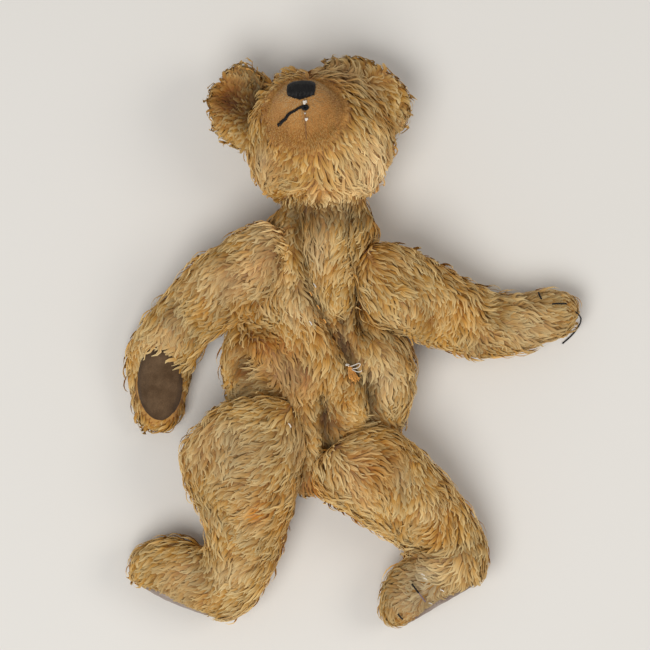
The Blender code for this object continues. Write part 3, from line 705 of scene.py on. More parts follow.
def turned(vectors, normals, angles):
    """Vectors on the surface, turned about its normals."""
    across = np.cross(normals, vectors)
    return vectors * np.cos(angles)[:, None] + across * np.sin(angles)[:, None]

# %% The combed skins
snout = Vector((-48, 218, 142)) * MM
starts = {child: joint["pos_m"] for child, joint in JOINTS.items()}
starts.update(torso=(-0.027, 0.14, 0.06), head=snout)
starts.update(right_ear=(-0.087, 0.207, 0.06), left_ear=(0.006, 0.208, 0.054))
combs = {}
for body, skin in skins.items():
    places, normals = points_of(skin.data)
    comb = combed(skin.data, places, normals, starts[body])
    total, flow = np.zeros(len(places)), np.zeros_like(places)
    for x, y, direction in FLOWS:
        near = np.exp(-(np.hypot(places[:, 0] - x * MM, places[:, 1] - y * MM) / FLOW_REACH) ** 2)
        total += near
        angle = math.radians(direction)
        flow += near[:, None] * np.array((math.cos(angle), math.sin(angle), 0))
    share = np.clip(1.5 * total, 0, 1) * np.clip(normals[:, 2] * 2 + 0.4, 0, 1)
    comb = flat_unit(comb * (1 - share)[:, None] + flat_unit(flow, normals) * share[:, None], normals)
    for size, turn in SWIRLS:
        comb = turned(comb, normals, turn * noise_at(places, size, 7.0 + len(body)))
    combs[body] = comb
    print(body, "combed")

# %% [markdown]
# How long and how dense the pile is, and its colour, differ from place to place: it is bare where two
# parts of the bear press on each other, thinner underneath, clipped on the snout, stained orange in
# spots and faded grey in others. Its colour is also painted darker in folds and under the chin as
# painted shade, and paler at the sides as painted light. All this is kept as numbers on the points of
# the skins, which Geometry Nodes and the materials can read by name.

# %% Wear, stains, tone and painted shade
# Each place is x, y and radius in mm, seen from above, and a strength.
STAINS = [
    (-47, -22, 18, 0.75), (-70, 2, 15, 0.7), (-86, 12, 12, 0.45), (-100, -4, 12, 0.4), (-36, 30, 8, 0.5),
    (-14, 30, 9, 0.5), (-25, 12, 8, 0.5), (-79, -143, 6, 0.95), (-77, -144, 16, 0.25), (12, -95, 18, 0.3),
    (0, -110, 18, 0.3), (-38, -118, 9, 0.6), (28, -88, 9, 0.4), (-67, 160, 14, 0.35), (-108, 219, 10, 0.6),
    (-20, 234, 8, 0.6), (-79, 204, 7, 0.45), (-108, 212, 12, 0.5), (-95, -20, 9, 0.5), (-75, 80, 9, 0.35),
    (-10, 4, 8, 0.6), (85, 38, 22, 0.2), (-100, 62, 18, 0.2), (-26, -60, 9, 0.4), (20, -110, 14, 0.3),
]
FADES = [
    (-34, 95, 14, 0.35), (66, -206, 8, 0.5), (60, -214, 20, 0.3), (-70, 100, 12, 0.3), (-52, 40, 14, 0.3),
    (30, -30, 18, 0.25), (-95, -95, 30, 0.2), (150, 20, 26, 0.25), (-80, 172, 8, 0.3), (8, 165, 24, 0.35),
    (-20, 143, 20, 0.2),
]
# Where the pile is darker than elsewhere, or paler (below 0), as a share of its brightness. A few
# places are the pile's own darker hair; most are painted shade, under the chin, beside the right paw's
# pad, in the right ear and in hollows. The paler places are mostly painted light.
DARKER_PILE_AND_PAINTED_SHADE = [
    (-108, 212, 12, 0.7), (-11, 4, 9, 0.5), (-29, -58, 6, 0.4), (-95, -16, 7, 0.35), (-78, 188, 6, 0.2),
    (124, 18, 7, 0.3), (-114, 36, 8, 0.3), (24, 16, 8, 0.45), (-45, -108, 8, 0.3), (-72, 88, 8, 0.25),
    (-110, 50, 9, 0.2), (-100, 2, 14, 0.15), (-58, 124, 9, 0.5), (-46, 121, 10, 0.55), (-33, 120, 10, 0.5),
    (-20, 119, 10, 0.5), (-7, 119, 10, 0.5), (7, 121, 8, 0.5), (-45, -30, 20, 0.04), (55, -218, 30, 0.34),
    (-160, -198, 34, 0.21), (160, 20, 30, 0.12), (-92, -92, 45, 0.27), (-140, 30, 40, 0.13),
    (0, 92, 13, 0.08), (-2, 52, 6, 0.45), (4, 68, 5, 0.3), (-38, 46, 6, 0.3), (-27, 22, 6, 0.25),
    (14, -66, 5, 0.35), (-84, -42, 7, 0.12), (-110, -42, 7, 0.1), (-60, -46, 8, 0.15), (-52, -60, 6, 0.2),
    (-79, -143, 6, -0.5), (38, -20, 20, 0.08), (-146, -25, 12, 0.5), (-146, -52, 9, 0.35),
    (-62, 95, 16, -0.3), (-78, 60, 20, -0.12), (8, 165, 26, -0.45), (-22, 142, 22, -0.35),
    (10, -60, 10, -0.1),
]
# Where the pile is shorter (below 0) or longer than elsewhere, as a share of its length.
LENGTHS = [
    (-140, -34, 18, -0.7), (198, 22, 12, -0.6), (66, -208, 12, -0.5), (51, -215, 6, -0.6),
    (39, -240, 6, -0.6), (163, 44, 5, -0.5), (180, 37, 7, -0.5), (0, 165, 34, 0.3), (-27, 152, 18, 0.7),
    (-58, 134, 9, -0.6), (-43, 131, 9, -0.7), (-28, 130, 9, -0.7), (-13, 130, 9, -0.7), (2, 132, 9, -0.6),
    (-20, 100, 30, 0.2), (-5, -21, 6, -0.5), (-85, -30, 13, 0.4), (-108, 215, 26, -0.45), (28, 222, 22, -0.2),
    (-165, -219, 8, -0.4), (-150, -227, 8, -0.4), (-135, -235, 8, -0.4), (-120, -243, 9, -0.4),
]
# Where it stands up from the cloth more than elsewhere.
STANDING = [(-78, 238, 18, 0.5), (-48, 240, 18, 0.6), (-15, 240, 18, 0.5), (-196, -30, 16, 0.6)]
# Where another body or felt is nearer than the first of two distances there is no pile; past the
# second it is full.
PRESSED, FELT_EDGE = (0.2 * MM, 1.6 * MM), (1.0 * MM, 2.5 * MM)
UNDER_FELT = 8 * MM
SHORT_BY_SOLE, SHORTEST_BY_SOLE = 17 * MM, 0.15
UNDERSIDE_PILE = 0.4
# The cloth of the neck that is tucked up under the head has lost its pile.
NECK_TUCK, TUCK_EDGE = 142 * MM, 6 * MM

# %% Helpers for places on a skin
def spots(places, normals, table):
    """The strengths of a table's places, added up at each point; they end at the back."""
    total = np.zeros(len(places))
    for x, y, radius, strength in table:
        far = np.hypot(places[:, 0] - x * MM, places[:, 1] - y * MM) / (radius * MM)
        total += strength * np.exp(-(far**2))
    return total * np.clip(normals[:, 2] * 2 + 1.4, 0, 1)


def store(mesh, name, values, kind="FLOAT"):
    """Keeps a number or a vector on each point of a mesh."""
    kept = mesh.attributes.get(name) or mesh.attributes.new(name, kind, "POINT")
    field = "vector" if kind == "FLOAT_VECTOR" else "value"
    kept.data.foreach_set(field, np.asarray(values, dtype=np.float32).ravel())

# %% [markdown]
# A tree of each skin's faces says how near the next body is. From that come the bare places, and from
# the tables the rest. A number on a point blends smoothly into the next point's, so the pile thins out
# and the stains fade without an edge.

# %% What each skin carries
trees = {}
for body, skin in skins.items():
    bm = bmesh.new()
    bm.from_mesh(skin.data)
    trees[body] = tree_of(bm)
for body, skin in skins.items():
    places, normals = points_of(skin.data)
    others = [tree for name, tree in trees.items() if owner[name] != owner[body]]
    gap = np.array([min(tree.find_nearest(Vector(place))[3] for tree in others) for place in places])
    open_air = rising(gap, PRESSED)
    under = np.clip((normals[:, 2] + 0.6) / 0.8, 0, 1)
    beside_sole = np.ones(len(places))
    for pad, tree in felt_trees.items():
        far = np.array([tree.find_nearest(Vector(place))[3] for place in places])
        open_air = open_air * rising(far, FELT_EDGE)
        under_felt = [
            tree.ray_cast(Vector(place), Vector(normal), UNDER_FELT)[0] is not None
            for place, normal in zip(places, normals)
        ]
        open_air[under_felt] = 0
        if "foot" in pad:
            beside_sole = np.minimum(beside_sole, np.clip(far / SHORT_BY_SOLE, SHORTEST_BY_SOLE, 1))
    if body == "head":
        open_air = open_air * (1 - clipped(places))
    if body == "torso":
        open_air = open_air * np.clip((NECK_TUCK - places[:, 1]) / TUCK_EDGE, 0, 1)
    store(skin.data, "comb", combs[body], "FLOAT_VECTOR")
    depth = depths[body]
    longer = np.clip(1 + spots(places, normals, LENGTHS), 0.1, 2)
    store(skin.data, "cover", open_air * (1 - 0.3 * depth) * (UNDERSIDE_PILE + (1 - UNDERSIDE_PILE) * under))
    store(skin.data, "pile", (0.5 + 0.5 * open_air) * (1 - 0.35 * depth) * longer * beside_sole * (
        1 + 0.25 * noise_at(places, 0.03, 2.0)))
    store(skin.data, "stand", 1 + spots(places, normals, STANDING) - 0.25 * depth)
    # Pile on the sides is painted paler: painted light, for hair there that lets light through.
    painted_side_light = np.clip(1 - np.abs(normals[:, 2] + 0.1) / 0.5, 0, 1)
    blotchy = 1 + 0.7 * noise_at(places, 0.010, 3.0)
    warm = np.clip(0.5 * noise_at(places, 0.028, 8.0), 0, 0.2)
    store(skin.data, "stain", np.clip(spots(places, normals, STAINS) * blotchy + warm, 0, 1))
    pale = np.clip(0.4 * noise_at(places, 0.036, 9.0), 0, 0.22)
    store(skin.data, "fade", np.clip(spots(places, normals, FADES) + pale, 0, 1))
    uneven = 1 + 0.16 * noise_at(places, 0.035, 4.0) + 0.10 * noise_at(places, 0.012, 5.0)
    darker_and_painted_shade = spots(places, normals, DARKER_PILE_AND_PAINTED_SHADE)
    # The tone is painted paler at the sides as painted light and darker in deep folds as painted shade; the
    # table adds painted shade and the pile's own darker patches, and noise its uneven tone.
    store(skin.data, "tone", (1 + 0.35 * painted_side_light) * (1 - 0.75 * depth) * (1 - darker_and_painted_shade) * uneven)
    print(body, f"{np.mean(open_air):.2f} of it in the open")
# %% [markdown]
# One tree of Geometry Nodes makes all the pile. Points scattered on a skin, no closer than a spacing,
# are the roots. Each root is copied a few times, and the copies are moved to become the points of one
# lock: along the comb direction at the root and at the tip, and then down onto the skin, so that a
# lock wraps round a limb. It lifts off the cloth and dips at its tip, waves from side to side in
# step with its neighbours and leans towards a shared point, so that locks gather in tufts. Joined by
# a curve and given a flat tapered section, it is a closed lock of some thirty triangles. Real locks
# are finer; one here stands for a strand of hairs that cling together.

# %% The pile tree and its sizes
PILE_SIZES = {
    "Spacing": 2.35 * MM, "Length": 20 * MM, "Width": 3.3 * MM, "Flatness": 0.24, "Lift": 3.6 * MM,
    "Wave": 1.7 * MM, "Curl": 3.6 * MM, "Tuft": 6.5 * MM, "Gather": 0.65, "Hug": 0.95, "Softness": 0.55,
    "Floor": 1.2 * MM,
}
LOCK_POINTS = 6
# How far a lock may turn away from the comb on its own and with its tuft, in radians.
FREE_TURN, TUFT_TURN = 0.13, 0.26
# Waves in a lock, and how many patches of locks that wave in step go to a metre.
WAVES, WAVE_PATCH = 1.5, 35.0
# How far light from above counts in the shading of a lock.
LIT_FROM_ABOVE = 0.9

pile, given = new_tree("pile_of_locks", PILE_SIZES, Seed="Int", Points="Int")

# %% [markdown]
# First the roots. Poisson scattering keeps points a spacing apart, as hair in cloth is, and the skin's
# cover says where fewer are wanted. A second, wider scattering gives the middles of the tufts. Each
# root is copied into the points of its lock, and each point's share of the way along is kept.

# %% Roots, tufts and the points of a lock
most = maths(pile, "POWER", given["Spacing"], -2.0)
most = maths(pile, "MULTIPLY", most, 3.0)
density = named(pile, "cover", "FLOAT")
roots = add_node(pile, "GeometryNodeDistributePointsOnFaces", {
    "Mesh": given["Geometry"], "Distance Min": given["Spacing"], "Density Max": most,
    "Density Factor": density, "Seed": given["Seed"],
}, distribute_method="POISSON")
tufts = add_node(pile, "GeometryNodeDistributePointsOnFaces", {
    "Mesh": given["Geometry"], "Distance Min": given["Tuft"], "Density Max": most, "Seed": given["Seed"],
}, distribute_method="POISSON")
outwards = roots.outputs["Normal"]
order = add_node(pile, "GeometryNodeInputIndex")
counted = add_node(pile, "GeometryNodeStoreNamedAttribute", {
    "Geometry": roots, "Name": "lock", "Value": order,
}, data_type="INT", domain="POINT")
copies = add_node(pile, "GeometryNodeDuplicateElements", {
    0: counted, "Amount": given["Points"],
}, domain="POINT")
last = maths(pile, "SUBTRACT", given["Points"], 1.0)
along = maths(pile, "DIVIDE", copies.outputs["Duplicate Index"], last)

# %% [markdown]
# Then chance. A random value with the number of the lock as its ID is the same for all points of one
# lock, and with the number of the tuft it is the same for a whole tuft. So the locks of a tuft turn and
# rise together, as real ones do, and still differ a little from each other.

# %% What a lock and a tuft have to themselves
lock = named(pile, "lock", "INT")
comb = named(pile, "comb", "FLOAT_VECTOR")
long = named(pile, "pile", "FLOAT")
stand = named(pile, "stand", "FLOAT")
root = add_node(pile, "GeometryNodeInputPosition")
tuft = add_node(pile, "GeometryNodeSampleNearest", {"Geometry": tufts, "Sample Position": root})
tuft_place = add_node(pile, "GeometryNodeSampleIndex", {
    "Geometry": tufts, "Value": root, "Index": tuft,
}, data_type="FLOAT_VECTOR")
chance = {}
for seed, (name, least, greatest, whose) in enumerate([
    ("turn", -FREE_TURN, FREE_TURN, lock), ("tuft turn", -TUFT_TURN, TUFT_TURN, tuft),
    ("length", 0.65, 1.25, lock), ("rank", 0.0, 1.0, lock), ("tuft lift", 0.6, 1.35, tuft),
    ("own phase", 0.0, 0.8, lock), ("curl", -1.0, 1.0, tuft), ("roll", -0.35, 0.35, lock),
    ("shade", 0.0, 0.45, lock), ("tuft shade", 0.0, 0.55, tuft), ("width", 0.5, 1.25, lock),
]):
    links = {2: least, 3: greatest, "ID": whose, "Seed": seed + 11}
    chance[name] = add_node(pile, "FunctionNodeRandomValue", links, data_type="FLOAT")
patch = add_node(pile, "ShaderNodeTexNoise", {"Vector": root, "Scale": WAVE_PATCH, "Detail": 0.0})
phase = maths(pile, "MULTIPLY_ADD", patch, 14.0, chance["own phase"])

# %% [markdown]
# Then directions. The comb is read at the root and again where the tip will be, so a lock bends with
# the pile round it. How far each point goes along, across and up are short sums: a wave and a hook
# sideways, and a bow upwards that is highest two thirds of the way along.

# %% Which way a lock goes, and how far
length = maths(pile, "MULTIPLY", given["Length"], long)
length = maths(pile, "MULTIPLY", length, chance["length"])
turn = maths(pile, "ADD", chance["turn"], chance["tuft turn"])
ahead = add_node(pile, "ShaderNodeVectorRotate", {
    "Vector": comb, "Axis": outwards, "Angle": turn,
}, rotation_type="AXIS_ANGLE")
across = vector_maths(pile, "CROSS_PRODUCT", outwards, ahead)
tip = vector_maths(pile, "SCALE", ahead, length)
tip = vector_maths(pile, "ADD", tip, root)
comb_there = add_node(pile, "GeometryNodeSampleNearestSurface", {
    "Mesh": given["Geometry"], "Value": comb, "Sample Position": tip,
}, data_type="FLOAT_VECTOR")
ahead_there = add_node(pile, "ShaderNodeVectorRotate", {
    "Vector": comb_there, "Axis": outwards, "Angle": turn,
}, rotation_type="AXIS_ANGLE")

bend = maths(pile, "POWER", along, 2.0)
bend = maths(pile, "MULTIPLY", bend, 0.5)
straight = maths(pile, "SUBTRACT", along, bend)
reach = maths(pile, "MULTIPLY", straight, length)
reach_there = maths(pile, "MULTIPLY", bend, length)
wave = maths(pile, "MULTIPLY_ADD", along, 2 * math.pi * WAVES, phase)
wave = maths(pile, "SINE", wave)
wave = maths(pile, "MULTIPLY", wave, given["Wave"])
wave = maths(pile, "MULTIPLY", wave, along)
hook = maths(pile, "MULTIPLY", bend, chance["curl"])
sideways = maths(pile, "MULTIPLY_ADD", hook, given["Curl"], wave)
bow = maths(pile, "MULTIPLY", along, 2.3)
bow = maths(pile, "SINE", bow)
top = maths(pile, "POWER", chance["rank"], 8.0)
lift = maths(pile, "MULTIPLY_ADD", chance["rank"], 0.6, 0.25)
lift = maths(pile, "MULTIPLY_ADD", top, 0.8, lift)
for size in (given["Lift"], chance["tuft lift"], stand, long, bow):
    lift = maths(pile, "MULTIPLY", lift, size)

# %% [markdown]
# Then places. A point goes from the root ahead, across and towards the middle of its tuft, then down to
# the nearest place on the skin, and up from there by the lift. Nothing goes below the surface that the
# bear lies on. A few locks on top hug the skin less than the others and stand free.

# %% Where the points of a lock go
inwards = vector_maths(pile, "SUBTRACT", tuft_place, root)
gather = maths(pile, "MULTIPLY", along, given["Gather"])
gather = maths(pile, "MULTIPLY", gather, chance["rank"])
flat = root
for direction, amount in ((ahead, reach), (ahead_there, reach_there), (across, sideways), (inwards, gather)):
    move = vector_maths(pile, "SCALE", direction, amount)
    flat = vector_maths(pile, "ADD", flat, move)
ground = add_node(pile, "GeometryNodeSampleNearestSurface", {
    "Mesh": given["Geometry"], "Value": root, "Sample Position": flat,
}, data_type="FLOAT_VECTOR")
upright = add_node(pile, "GeometryNodeSampleNearestSurface", {
    "Mesh": given["Geometry"], "Value": add_node(pile, "GeometryNodeInputNormal"), "Sample Position": flat,
}, data_type="FLOAT_VECTOR")
hug = maths(pile, "MULTIPLY_ADD", top, -0.5, given["Hug"])
hugging = add_node(pile, "ShaderNodeMix", {0: hug, 4: flat, 5: ground}, data_type="VECTOR")
move = vector_maths(pile, "SCALE", upright, lift)
place = vector_maths(pile, "ADD", hugging, move)
split = add_node(pile, "ShaderNodeSeparateXYZ", {0: place})
height = maths(pile, "MAXIMUM", split.outputs[2], given["Floor"])
place = add_node(pile, "ShaderNodeCombineXYZ", {0: split.outputs[0], 1: split.outputs[1], 2: height})

# %% [markdown]
# The points of one lock are joined into a curve. Its normal is set from the skin, so that the flat side
# of the lock lies on the body. What later nodes and the material read is stored before the points
# move, since it depends on where the root was.

# %% From points to curves
shade = maths(pile, "ADD", chance["shade"], chance["tuft shade"])
rolled = add_node(pile, "ShaderNodeVectorRotate", {
    "Vector": upright, "Axis": ahead, "Angle": chance["roll"],
}, rotation_type="AXIS_ANGLE")
geometry = copies
for name, value, kind in (
    ("upright", rolled, "FLOAT_VECTOR"), ("along", along, "FLOAT"), ("shade", shade, "FLOAT"),
):
    geometry = add_node(pile, "GeometryNodeStoreNamedAttribute", {
        "Geometry": geometry, "Name": name, "Value": value,
    }, data_type=kind, domain="POINT")
geometry = add_node(pile, "GeometryNodeSetPosition", {0: geometry, "Position": place})
stored = named(pile, "along", "FLOAT")
lines = add_node(pile, "GeometryNodePointsToCurves", {
    "Points": geometry, "Curve Group ID": lock, "Weight": stored,
})
stored_normal = named(pile, "upright", "FLOAT_VECTOR")
lines = add_node(pile, "GeometryNodeSetCurveNormal", {"Curve": lines, "Normal": stored_normal}, mode="FREE")
belly = add_node(pile, "ShaderNodeMapRange", {0: stored, 3: 0.45, 4: 3.04})
belly = maths(pile, "SINE", belly)
thick = maths(pile, "MULTIPLY", belly, chance["width"])

# %% [markdown]
# A section swept along the curve makes the lock solid. It is a low roof, one corner up and two on the
# cloth: three sides are the fewest that close, and there are many thousands of locks. Round it runs a
# number from 0 to 1, edge to edge over the ridge, for the hairs. The two lower edges are sharp, or the
# flat underside would darken the slopes.

# %% From curves to locks
radius = maths(pile, "DIVIDE", given["Width"], math.sqrt(3))
circle = add_node(pile, "GeometryNodeCurvePrimitiveCircle", {"Resolution": 3, "Radius": radius})
squash = add_node(pile, "ShaderNodeCombineXYZ", {0: given["Flatness"], 1: 1.0, 2: 1.0})
section = add_node(pile, "GeometryNodeTransform", {0: circle, "Scale": squash})
corner = maths(pile, "ADD", order, 0.5)
corner = maths(pile, "MODULO", corner, 1.5)
section = add_node(pile, "GeometryNodeStoreNamedAttribute", {
    "Geometry": section, "Name": "around", "Value": corner,
}, data_type="FLOAT", domain="POINT")
tubes = add_node(pile, "GeometryNodeCurveToMesh", {
    "Curve": lines, "Profile Curve": section, "Scale": thick, "Fill Caps": True,
})
smooth = add_node(pile, "GeometryNodeSetShadeSmooth", {0: tubes})
across_roof = named(pile, "around", "FLOAT")
from_ridge = maths(pile, "SUBTRACT", across_roof, 0.5)
from_ridge = maths(pile, "ABSOLUTE", from_ridge)
eaves = maths(pile, "GREATER_THAN", from_ridge, 0.45)
edged = add_node(pile, "GeometryNodeSetShadeSmooth", {0: smooth, 1: eaves, 2: False}, domain="EDGE")
real = add_node(pile, "GeometryNodeRealizeInstances", {0: edged})

# %% [markdown]
# Thousands of separate slopes would glitter, but light falls on real pile as on one soft surface, and
# sinks into it from above. So a face that looks outwards is shaded partly as the skin below it is, with
# the normal tilted up; a face that looks back at the skin keeps its own.

# %% Soft shading, and the end of the tree
face_normal = add_node(pile, "GeometryNodeFieldOnDomain", {
    0: add_node(pile, "GeometryNodeInputNormal"),
}, data_type="FLOAT_VECTOR", domain="FACE")
facing = vector_maths(pile, "DOT_PRODUCT", face_normal, stored_normal)
facing = maths(pile, "GREATER_THAN", facing.outputs["Value"], 0.0)
softness = maths(pile, "MULTIPLY", facing, given["Softness"])
lit = vector_maths(pile, "ADD", stored_normal, (0, 0, LIT_FROM_ABOVE))
lit = vector_maths(pile, "NORMALIZE", lit)
shaded = add_node(pile, "ShaderNodeMix", {0: softness, 4: face_normal, 5: lit}, data_type="VECTOR")
shaded = vector_maths(pile, "NORMALIZE", shaded)
soft = add_node(pile, "GeometryNodeSetMeshNormal", {
    0: real, "Custom Normal": shaded,
}, mode="FREE", domain="CORNER")
painted = add_node(pile, "GeometryNodeSetMaterial", {0: soft, "Material": LOCKS})
add_node(pile, "NodeGroupOutput", {0: painted})
print(len(pile.nodes), "nodes make a pile")

# %% [markdown]
# The tree runs on a copy of each skin, and what it makes becomes a plain mesh of its own. The torso's
# pile is grown in two halves, so that neither is too heavy a piece.

# %% Growing a pile
def grow_pile(name, skin, seed, cover, **sizes):
    """A pile on a skin, as a plain mesh. Cover is its density; sizes change the tree's named inputs."""
    grower = placed(name + "_grower", skin.data.copy())
    store(grower.data, "cover", cover)
    run_tree(grower, pile, **{"Seed": seed, "Points": LOCK_POINTS, **sizes})
    mesh = applied(grower)
    bpy.data.objects.remove(grower)
    return new_piece(name, mesh, LOCKS)


def read(mesh, name):
    """The numbers that a mesh keeps on its points."""
    values = np.empty(len(mesh.vertices))
    mesh.attributes[name].data.foreach_get("value", values)
    return values

# %% The pile of each part
for seed, (body, skin) in enumerate(skins.items()):
    cover = read(skin.data, "cover")
    places, normals = points_of(skin.data)
    halves = {"_pile": cover}
    if body == "torso":
        halves = {"_front_pile": cover * (normals[:, 2] > 0), "_back_pile": cover * (normals[:, 2] <= 0)}
    for part, dense in halves.items():
        grown = grow_pile(body + part, skin, seed, dense)
        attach(grown, owner[body])
        print(body + part, sum(len(face.vertices) - 2 for face in grown.data.polygons), "triangles")

# %% [markdown]
# The snout is clipped: its pile was cut to a velvet a few millimetres long, and years of handling have
# worn it down to a pinkish tan, greyer beside the nose. It is the same tree again, with short, fine and
# dense locks. Towards the chin the clipping ends and the hair gets longer.

# %% The clipped snout
# The hair gets longer from the first of these heights to the second; the snout is grey round a place.
CHIN_FROM, CHIN_FULL = 196 * MM, 174 * MM
GREY_PLACE, GREY_REACH = (-0.048, 0.219, 0.138), 19 * MM

face_up = Vector((0.06, 0.86, -0.50))
face_up = (face_up - face_looks * face_up.dot(face_looks)).normalized()
face_side = face_up.cross(face_looks)

head = skins["head"]
places, normals = points_of(head.data)
on_snout = clipped(places)
chin = rising(-places[:, 1], (-CHIN_FROM, -CHIN_FULL))
beside_nose = np.exp(-(np.linalg.norm(places - np.array(GREY_PLACE), axis=1) / GREY_REACH) ** 2)

velvet = placed("velvet", head.data.copy())
store(velvet.data, "pile", 1 + 1.6 * chin)
store(velvet.data, "tone", 0.93 - 0.12 * beside_nose + 0.10 * noise_at(places, 0.008, 3.0))
store(velvet.data, "stain", 0.42 + 0.2 * noise_at(places, 0.02, 6.0) - 0.3 * beside_nose)
store(velvet.data, "fade", 0.55 * beside_nose)
muzzle_pile = grow_pile(
    "muzzle_pile", velvet, 31, on_snout, Points=3, Spacing=1.1 * MM, Length=2.4 * MM, Width=0.75 * MM,
    Lift=1.1 * MM, Wave=0.2 * MM, Curl=0.4 * MM, Tuft=4 * MM, Gather=0.1, Flatness=0.8, Hug=0.5,
)
bpy.data.objects.remove(velvet)
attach(muzzle_pile, "head")
store(head.data, "stain", np.maximum(read(head.data, "stain"), 0.45 * on_snout))
print(sum(len(face.vertices) - 2 for face in muzzle_pile.data.polygons), "triangles on the snout")

# %% [markdown]
# All the bear's threads are yarn: strands twisted round each other. A second tree makes it from any
# curve. It puts even points along the curve, tilts each a little more than the last, and sweeps three
# small circles along it, so the circles wind round each other as the strands do.

# %% The yarn tree
YARN_SIZES = {"Width": 2.0 * MM, "Twist": 900.0, "Step": 0.7 * MM}

yarn, given = new_tree("twisted_yarn", YARN_SIZES, Material="Material")
even = add_node(yarn, "GeometryNodeResampleCurve", {
    0: given["Geometry"], "Length": given["Step"],
}, mode="LENGTH")
way = add_node(yarn, "GeometryNodeSplineParameter").outputs["Length"]
tilt = maths(yarn, "MULTIPLY", way, given["Twist"])
wound = add_node(yarn, "GeometryNodeSetCurveTilt", {0: even, "Tilt": tilt})
strand_radius = maths(yarn, "MULTIPLY", given["Width"], 0.27)
centres = add_node(yarn, "GeometryNodeMeshCircle", {"Vertices": 3, "Radius": strand_radius})
strand = add_node(yarn, "GeometryNodeCurvePrimitiveCircle", {"Resolution": 6, "Radius": strand_radius})
three = add_node(yarn, "GeometryNodeInstanceOnPoints", {"Points": centres, "Instance": strand})
section = add_node(yarn, "GeometryNodeRealizeInstances", {0: three})
radius = add_node(yarn, "GeometryNodeInputRadius")
swept = add_node(yarn, "GeometryNodeCurveToMesh", {
    "Curve": wound, "Profile Curve": section, "Scale": radius, "Fill Caps": True,
})
smooth = add_node(yarn, "GeometryNodeSetShadeSmooth", {0: swept})
real = add_node(yarn, "GeometryNodeRealizeInstances", {0: smooth})
painted = add_node(yarn, "GeometryNodeSetMaterial", {0: real, "Material": given["Material"]})
add_node(yarn, "NodeGroupOutput", {0: painted})

# %% Spinning yarn
EDGE_HEIGHT = 38


def lay_on(tree, x, y, above=0.0):
    """A point some mm above a surface at x, y, all in mm; just off its edge, at the height of the edge."""
    hit = tree.ray_cast(Vector((x * MM, y * MM, 1)), Vector((0, 0, -1)))[0]
    if hit is None:
        hit = tree.find_nearest(Vector((x, y, EDGE_HEIGHT)) * MM)[0]
    return Vector((x, y, hit.z / MM + above))


def spin_yarn(name, lines, body, finish, width=2.0, swell=None):
    """One piece of yarn along lines of points in mm. Swell gives the width at each point of a line."""
    curve = bpy.data.curves.new(name, "CURVE")
    curve.dimensions = "3D"
    curve.resolution_u = 6
    for points in lines:
        spline = curve.splines.new("NURBS")
        spline.points.add(len(points) - 1)
        spline.order_u, spline.use_endpoint_u = min(4, len(points)), True
        for i, (knot, point) in enumerate(zip(spline.points, points)):
            knot.co = (*(Vector(point) * MM), 1.0)
            knot.radius = swell[i] if swell else 1.0
    spun = placed(name + "_line", curve)
    run_tree(spun, yarn, Width=width * MM, Material=finish)
    bpy.context.view_layer.update()
    mesh = bpy.data.meshes.new_from_object(spun.evaluated_get(bpy.context.evaluated_depsgraph_get()))
    bpy.data.objects.remove(spun)
    piece = new_piece(name, mesh, finish)
    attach(piece, body)
    return piece

# %% [markdown]
# The mouth was sewn in black yarn. One side of it is left: it comes out of a knot under the nose and
# runs down over the snout. The other side is gone, and so are the eyes. A fine seam runs down the
# middle of the chin, and two tufts of white cotton show where the filling comes through.

# %% Mouth and chin
face = trees["head"]
MOUTH = [
    (-42, 206.5), (-47, 206), (-51, 204.6), (-53, 202.2), (-57.5, 201), (-60.3, 198), (-61.2, 195.4),
    (-64.6, 193.6), (-67.4, 190.6),
]
MOUTH_SWELL = [0.8, 0.8, 0.75, 0.8, 0.85, 1.0, 0.9, 1.25, 1.2]
KNOT = [(-49, 205), (-46, 206.5), (-43, 206.8), (-41.5, 205), (-43.5, 203.3), (-47, 203.6), (-45.5, 205.5)]
mouth = spin_yarn(
    "mouth_yarn", [[lay_on(face, x, y, 1.2) for x, y in MOUTH]], "head", FLOSS, 3.1,
    swell=MOUTH_SWELL,
)
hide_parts("mouth_thread")
spin_yarn("mouth_knot", [[lay_on(face, x, y, 2.2) for x, y in KNOT]], "head", FLOSS, 2.6)

# Unspun cotton is bright, matt and downy, uneven in flecks of 1 mm; sewing thread goes brown with dirt.
COTTON = mottled("white_cotton_thread", 0.8, 900.0, "D8CDBD", "F4EFE6", Sheen_Weight=0.2)
SEAM_THREAD = mottled("brown_seam_thread", 0.8, 300.0, "6A4320", "A5774A")

chin_seam = [(-45.5 + 0.17 * i, 207 - 2.2 * i) for i in range(14)]
spin_yarn(
    "chin_seam", [[lay_on(face, x, y, 2.2) for x, y in chin_seam]], "head", SEAM_THREAD, 0.8
)
# Each tuft of cotton is a place in mm and a size.
TUFTS = {"upper": (-45.2, 209.4, 2.3), "lower": (-43.6, 194.8, 1.6), "seam": (-44.6, 200.0, 0.5)}
loops = []
for x, y, size in TUFTS.values():
    loops.append([
        lay_on(face, x + size * math.cos(2.4 * i), y + 1.2 * size * math.sin(1.9 * i), 2.6 + 0.3 * (i % 3))
        for i in range(9)
    ])
spin_yarn("cotton_tufts", loops, "head", COTTON, 1.1)
print("a mouth, a knot, a seam and", len(loops), "tufts")

# %% [markdown]
# The nose is satin stitch: black floss laid side by side, top to bottom, until it covers a patch. Rows of
# points over the nose are dropped onto the snout, joined into threads and given a round section. The
# bottom edge comes to a shallow point. The frame's nose stays under the threads as their padding.

# %% The stitched nose
NOSE = {"Across": 22.5 * MM, "High": 13.2 * MM, "Thread": 1.3 * MM}
NOSE_ROWS, ROW_POINTS = 24, 9
nose_middle = Vector((-47.6, 219.0, 138)) * MM

